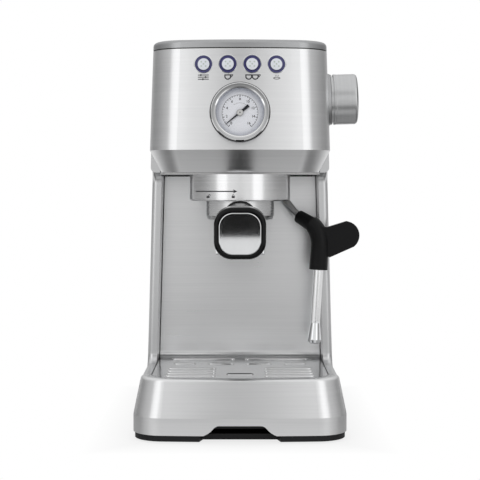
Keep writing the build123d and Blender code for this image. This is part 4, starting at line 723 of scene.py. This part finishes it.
def lipPattern():
    pattern = Pattern("rolledLips", {
        "Rows": "Int", "Row Step": "Float", "Columns": "Int", "Column Step": "Float",
        "Length": "Float", "Width": "Float", "Bead": "Float"})
    rows, rowStep, columns, columnStep, length, width, bead = pattern.given()
    grid = pattern.add("GeometryNodeMeshGrid", {}, {
        "Size X": columnStep * (columns - 1), "Size Y": rowStep * (rows - 1),
        "Vertices X": columns, "Vertices Y": rows})
    outline = pattern.add("GeometryNodeCurvePrimitiveQuadrilateral", {}, {
        "Width": length, "Height": width})
    rounded = pattern.add("GeometryNodeFilletCurve", {"mode": "POLY"}, {
        "Curve": outline, "Radius": width * halfRound, "Count": lip["cornerSteps"]})
    section = pattern.add("GeometryNodeCurvePrimitiveCircle", {}, {
        "Resolution": lip["beadSteps"], "Radius": bead})
    bar = pattern.add("GeometryNodeCurveToMesh", {}, {
        "Curve": rounded, "Profile Curve": section})
    lips = pattern.add("GeometryNodeInstanceOnPoints", {}, {"Points": grid, "Instance": bar})
    return pattern.close([lips], slotLipFinish)


def makeLips():
    pattern = lipPattern()
    margin = 2 * lip["stand"]
    for number, row in enumerate(slotRows, 1):
        values = {key: value for key, value in row.items() if key != "at"}
        values.update({"Length": row["Length"] + margin, "Width": lip["slotWidth"] + margin,
                       "Bead": lip["bead"]})
        lips = pattern.grow("grille.lips.%d" % number, values)
        lips.data.transform(Matrix.Translation(at(*row["at"], lip["level"])))
        lips.data.shade_smooth()
        keep(lips, "drip_grille", slotLipFinish)


makeDial()
print("dial printed")
makeLips()
print("grille lips rolled")


# Printed marks: flat outlines in millimetres, cut into strips and laid on a curved face

ink = {"lift": 0.05 * mm, "thick": 0.1 * mm, "strip": 1.2, "from": -400, "merge": 0.001,
       "slot": "needle_black"}


def outlineMesh(loops):
    # closed outlines filled, the inner ones left open
    curve = bpy.data.curves.new("outline", "CURVE")
    curve.dimensions = "2D"
    curve.fill_mode = "BOTH"
    for loop in loops:
        spline = curve.splines.new("POLY")
        spline.points.add(len(loop) - 1)
        for point, (x, y) in zip(spline.points, loop):
            point.co = (x, y, 0, 1)
        spline.use_cyclic_u = True
    return curveMesh(curve)


def faceOf(node):
    mesh = frame["nodes"][node].data
    return BVHTree.FromPolygons([vertex.co for vertex in mesh.vertices],
                                [face.vertices for face in mesh.polygons])


def printed(name, shapes, spot, node, finish):
    # ink laid along +Y on the node's front
    work = bmesh.new()
    for loops in shapes:
        work.from_mesh(outlineMesh(loops))
    bmesh.ops.remove_doubles(work, verts=work.verts, dist=ink["merge"])
    low = min(vertex.co.x for vertex in work.verts)
    high = max(vertex.co.x for vertex in work.verts)
    for step in range(1, int((high - low) / ink["strip"]) + 1):
        bmesh.ops.bisect_plane(work, geom=work.verts[:] + work.edges[:] + work.faces[:],
                               plane_co=(low + step * ink["strip"], 0, 0), plane_no=(1, 0, 0))
    face = faceOf(node)
    for vertex in work.verts:
        start = at(spot[0] + vertex.co.x, ink["from"], spot[1] + vertex.co.y)
        hit, normal, index, distance = face.ray_cast(start, Vector((0, 1, 0)))
        vertex.co = hit + normal * ink["lift"]
    bmesh.ops.recalc_face_normals(work, faces=work.faces)
    for flat in [part for part in work.faces if part.normal.y > 0]:
        flat.normal_flip()
    bmesh.ops.solidify(work, geom=work.faces[:], thickness=ink["thick"])
    bmesh.ops.recalc_face_normals(work, faces=work.faces)
    mesh = bpy.data.meshes.new(name)
    work.to_mesh(mesh)
    work.free()
    keep(newPiece(name, mesh), bodyOf[node], finish)


def moved(loop, x):
    return [(a + x, b) for a, b in loop]


def block(left, right, low, high):
    return [(left, low), (right, low), (right, high), (left, high)]


def oval(x, y, wide, high, count=20, first=0.0, last=360.0):
    # points round an oval or a part of it; a whole one doesn't repeat its first point
    steps = count if last - first >= 360 else count - 1
    angles = [math.radians(first + (last - first) * step / steps) for step in range(count)]
    return [(x + wide * math.cos(angle), y + high * math.sin(angle)) for angle in angles]


cup = {"outside": (3.3, 3.1, 2.5), "inside": (2.15, 1.95, 1.4), "middle": 0.4, "steps": 14,
       "handle": ((3.32, 2.5), (5.2, 2.5), (5.0, 1.3), (3.32, -0.6)),
       "handleHole": ((3.5, 1.6), (4.2, 1.6), (4.1, 1.2), (3.5, 0.5))}


def cupLoops(x, handle):
    # a round bowl with a level brim, open inside
    bowl = [moved([(-wide, brim)] + oval(0, cup["middle"], wide, deep, cup["steps"], 180, 360)
                  + [(wide, brim)], x)
            for wide, deep, brim in (cup["outside"], cup["inside"])]
    shapes = [bowl]
    if handle:
        shapes.append([moved(cup[key], x) for key in ("handle", "handleHole")])
    return shapes


sliders = {"reach": 5.2, "half": 0.42, "knob": (1.0, 0.95), "steps": 12,
           "rows": ((2.0, -2.4), (0.0, 2.2), (-2.0, -0.4))}


def sliderLoops():
    # three set bars, the sign for adjusting
    reach, (wide, high) = sliders["reach"], sliders["knob"]
    shapes = []
    for level, spot in sliders["rows"]:
        low, top = level - sliders["half"], level + sliders["half"]
        shapes += [[block(-reach, spot - wide, low, top)], [block(spot + wide, reach, low, top)],
                   [oval(spot, level, wide, high, sliders["steps"])]]
    return shapes


steam = {"dish": ((3.5, 1.35, 22), (2.1, 0.55, 16)), "dishLevel": -1.0, "waves": (-1.2, 0.2, 1.6),
         "waveFoot": 0.7, "waveStep": 0.28, "waveSteps": 7, "sway": 0.35, "swayStep": 1.1,
         "half": 0.28}


def steamLoops():
    # a shallow dish with three waves rising from it
    dish = [oval(0, steam["dishLevel"], *size) for size in steam["dish"]]
    waves = []
    for x in steam["waves"]:
        rise = [(x + steam["sway"] * math.sin(step * steam["swayStep"]),
                 steam["waveFoot"] + step * steam["waveStep"])
                for step in range(steam["waveSteps"])]
        waves.append([moved(rise, -steam["half"]) + moved(rise[::-1], steam["half"])])
    return [dish] + waves


lock = {"half": 1.5, "foot": -1.6, "top": 0.4, "bowFoot": 0.45, "outer": (1.15, 1.5),
        "inner": (0.65, 0.95), "steps": 10, "openBy": 1.3}


def lockLoops(x, shut):
    body = block(x - lock["half"], x + lock["half"], lock["foot"], lock["top"])
    spot = x if shut else x + lock["openBy"]
    outer, inner = [oval(spot, lock["bowFoot"], *lock[key], lock["steps"], 0, 180)
                    for key in ("outer", "inner")]
    return [[body], [outer + inner[::-1]]]


arrow = {"half": 0.55, "headHalf": 1.9, "headLength": 4.2, "notch": 3.6}


def arrowLoops(tail, tip):
    half, barb, notch = arrow["half"], tip - arrow["headLength"], tip - arrow["notch"]
    return [[[(tail, -half), (notch, -half), (barb, -arrow["headHalf"]), (tip, 0),
              (barb, arrow["headHalf"]), (notch, half), (tail, half)]]]


marks = {"places": (-35.25, -11.75, 11.75, 35.25), "level": 345.1, "cupPair": (-3.4, 2.9),
         "arrowFrom": -43.0, "arrowTo": -2.5, "arrowLevel": 235.4,
         "lockInset": (12, 4), "lockLevel": 230.6}


def printMarks():
    left, right = marks["cupPair"]
    tail, tip = marks["arrowFrom"], marks["arrowTo"]
    openAt, shutAt = tail + marks["lockInset"][0], tip - marks["lockInset"][1]
    signs = (("mark.settings", sliderLoops(), printBlack),
             ("mark.one_cup", cupLoops(0, True), printBlack),
             ("mark.two_cups", cupLoops(left, False) + cupLoops(right, True), printBlack),
             ("mark.steam", steamLoops(), printGrey))
    for place, (name, shapes, finish) in zip(marks["places"], signs):
        printed(name, shapes, (place, marks["level"]), "head_shell", finish)
    printed("mark.turn_arrow", arrowLoops(tail, tip), (0, marks["arrowLevel"]),
            "group_collar", printBlack)
    printed("mark.locks", lockLoops(openAt, False) + lockLoops(shutAt, True),
            (0, marks["lockLevel"]), "group_collar", printBlack)


printMarks()
print("marks printed")


# Studio: a pale floor, white surroundings that mirrors see as grey bands, two soft boxes, and a
# dark mat far in front

def grey(tone):
    return opaque((tone, tone, tone))


def stagePlane(name, corners):
    mesh = bpy.data.meshes.new(name)
    mesh.from_pydata([tuple(corner) for corner in corners], [], [(0, 1, 2, 3)])
    plane = newPiece(name, mesh)
    return plane


floorLook = {"half": 6, "paper": (0.86, 0.9), "grain": 300.0, "footprint": (0.1, 0.15),
             "white": 0.78, "whiteReach": (0.0, 0.045),
             "shadedNear": 0.66, "band": 0.12, "bandReach": (0.12, 0.18),
             "backReach": (-0.17, -0.13), "backShadeShare": 0.55, "far": 0.8, "farReach": (0.35, 0.46)}


def studioFloor():
    # mirrors see the floor in tones that follow its distance from the machine's footprint: painted shade, darker
    # near the machine, darkest in a band round it, dark beside and behind it, and paler far off
    half = floorLook["half"]
    floor = stagePlane("floor", [(-half, -half, 0), (half, -half, 0), (half, half, 0),
                                 (-half, half, 0)])
    finish = Finish("floorPaper")
    grain = finish.noise(floorLook["grain"], "grain")
    paper = finish.add("ShaderNodeBsdfDiffuse", {}, {
        "Color": finish.mix(*[grey(tone) for tone in floorLook["paper"]], grain)})
    x, y, z = finish.parts(finish.place(even, at(0, 0, 0)))
    halfWide, halfDeep = floorLook["footprint"]
    beyond = (abs(x) - halfWide).atLeast(abs(y) - halfDeep)
    # painted shade seen in reflections: the floor near the machine, round it and behind it is darker
    behind = finish.ramp(y, *floorLook["backReach"]) * floorLook["backShadeShare"]
    band = finish.ramp(beyond, *floorLook["bandReach"]).atLeast(behind)
    tone = finish.mix(finish.mix(grey(floorLook["shadedNear"]), grey(floorLook["band"]), band),
                      grey(floorLook["far"]), finish.ramp(beyond, *floorLook["farReach"]))
    clear = finish.ramp(beyond, *floorLook["whiteReach"])
    white = floorLook["white"] + clear * (1.0 - floorLook["white"])
    seen = finish.rays("Is Camera Ray", "Is Transmission Ray")
    first = finish.add("ShaderNodeMixShader", {}, {
        0: seen * white, 1: paper, 2: finish.glow(grey(1))})
    floor.data.materials.append(finish.output(finish.add("ShaderNodeMixShader", {}, {
        0: finish.rays("Is Glossy Ray"), 1: first, 2: finish.glow(tone)})))


# Tones of the surroundings by the angle from the front, then bands by height, from level 0 to 1
skyLook = {"ring": ((0, 0.8), (18, 0.85), (27, 0.82), (41, 0.72), (55, 0.6), (69, 0.42),
                    (85, 0.28), (100, 0.22), (125, 0.22), (150, 0.42), (180, 0.6)),
           "upper": 0.62, "upperLevels": (0.2, 0.36), "upperSide": (0.28, 0.42),
           "overhead": 0.85, "overheadLevels": (0.45, 0.8),
           "hood": 0.16, "hoodSide": (0.075, 0.01), "hoodFoot": (0.25, 0.33),
           "hoodTop": (0.6, 0.5), "fill": 0.74}


def studioWorld():
    world = bpy.data.worlds.new("studioWorld")
    scene.world = world
    world.use_nodes = True
    sky = Graph(world.node_tree)
    x, y, z = sky.parts(sky.add("ShaderNodeTexCoord", {}, {}, "Generated"))
    turn = abs(x).calc("ARCTAN2", 0 - y) / math.pi
    ring = sky.add("ShaderNodeValToRGB", {
        "stops": [(angle / 180, grey(tone)) for angle, tone in skyLook["ring"]]}, {"Fac": turn})
    upper = sky.ramp(z, *skyLook["upperLevels"]) * sky.ramp(turn, *skyLook["upperSide"])
    hood = (sky.ramp(turn, *skyLook["hoodSide"]) * sky.ramp(z, *skyLook["hoodFoot"])
            * sky.ramp(z, *skyLook["hoodTop"]))
    around = sky.mix(ring, grey(skyLook["upper"]), upper)
    around = sky.mix(around, grey(skyLook["overhead"]),
                     sky.ramp(z, *skyLook["overheadLevels"]))
    around = sky.mix(around, grey(skyLook["hood"]), hood)
    lit = sky.mix(grey(skyLook["fill"]), around, sky.rays("Is Glossy Ray"))
    colour = sky.mix(lit, grey(1.0), sky.rays("Is Camera Ray", "Is Transmission Ray"))
    back = sky.add("ShaderNodeBackground", {}, {"Color": colour, "Strength": 1.0})
    sky.add("ShaderNodeOutputWorld", {}, {0: back})


softBoxes = {"glow": 0.5, "size": (0.72, 1.6), "reach": 1.5, "turn": 41.0, "rise": 0.35,
             "aim": (0, -60, 200)}


def softBox(name, side):
    wide, high = softBoxes["size"]
    lamp = bpy.data.lights.new(name, "AREA")
    lamp.shape = "RECTANGLE"
    lamp.size, lamp.size_y = wide, high
    lamp.energy = softBoxes["glow"] * math.pi * wide * high
    box = newPiece(name, lamp)
    turn = math.radians(softBoxes["turn"]) * side
    aim = at(*softBoxes["aim"])
    away = Vector((math.sin(turn), -math.cos(turn), softBoxes["rise"]))
    box.location = aim + away * softBoxes["reach"]
    box.rotation_euler = (aim - box.location).to_track_quat("-Z", "Y").to_euler()


matLook = {"half": 110, "front": -2800, "back": -978, "level": 1, "tone": 0.015}


def darkMat():
    # lies far in front, and only mirrors see it
    half, front, back = matLook["half"], matLook["front"], matLook["back"]
    mat = stagePlane("farMat", [at(x, y, matLook["level"])
                                for x, y in block(-half, half, front, back)])
    finish = Finish("matBlack")
    mat.data.materials.append(finish.output(finish.glow(grey(matLook["tone"]))))
    mat.visible_camera = False
    mat.visible_diffuse = False
    mat.visible_shadow = False


view = {"lens": 94.0, "sensor": 36.0, "height": 241.3, "y": -1310.0, "tilt": 2.5,
        "clip": (0.05, 50.0)}


def makeCamera():
    camera = newPiece("camera", bpy.data.cameras.new("camera"))
    camera.data.lens = view["lens"]
    camera.data.sensor_width = view["sensor"]
    camera.location = at(0, view["y"], view["height"])
    camera.rotation_euler = (math.radians(90 - view["tilt"]), 0, 0)
    camera.data.clip_start, camera.data.clip_end = view["clip"]
    scene.camera = camera


studioFloor()
studioWorld()
softBox("boxLeft", -1)
softBox("boxRight", 1)
darkMat()
makeCamera()
scene.view_settings.view_transform = "Standard"
print("studio ready")
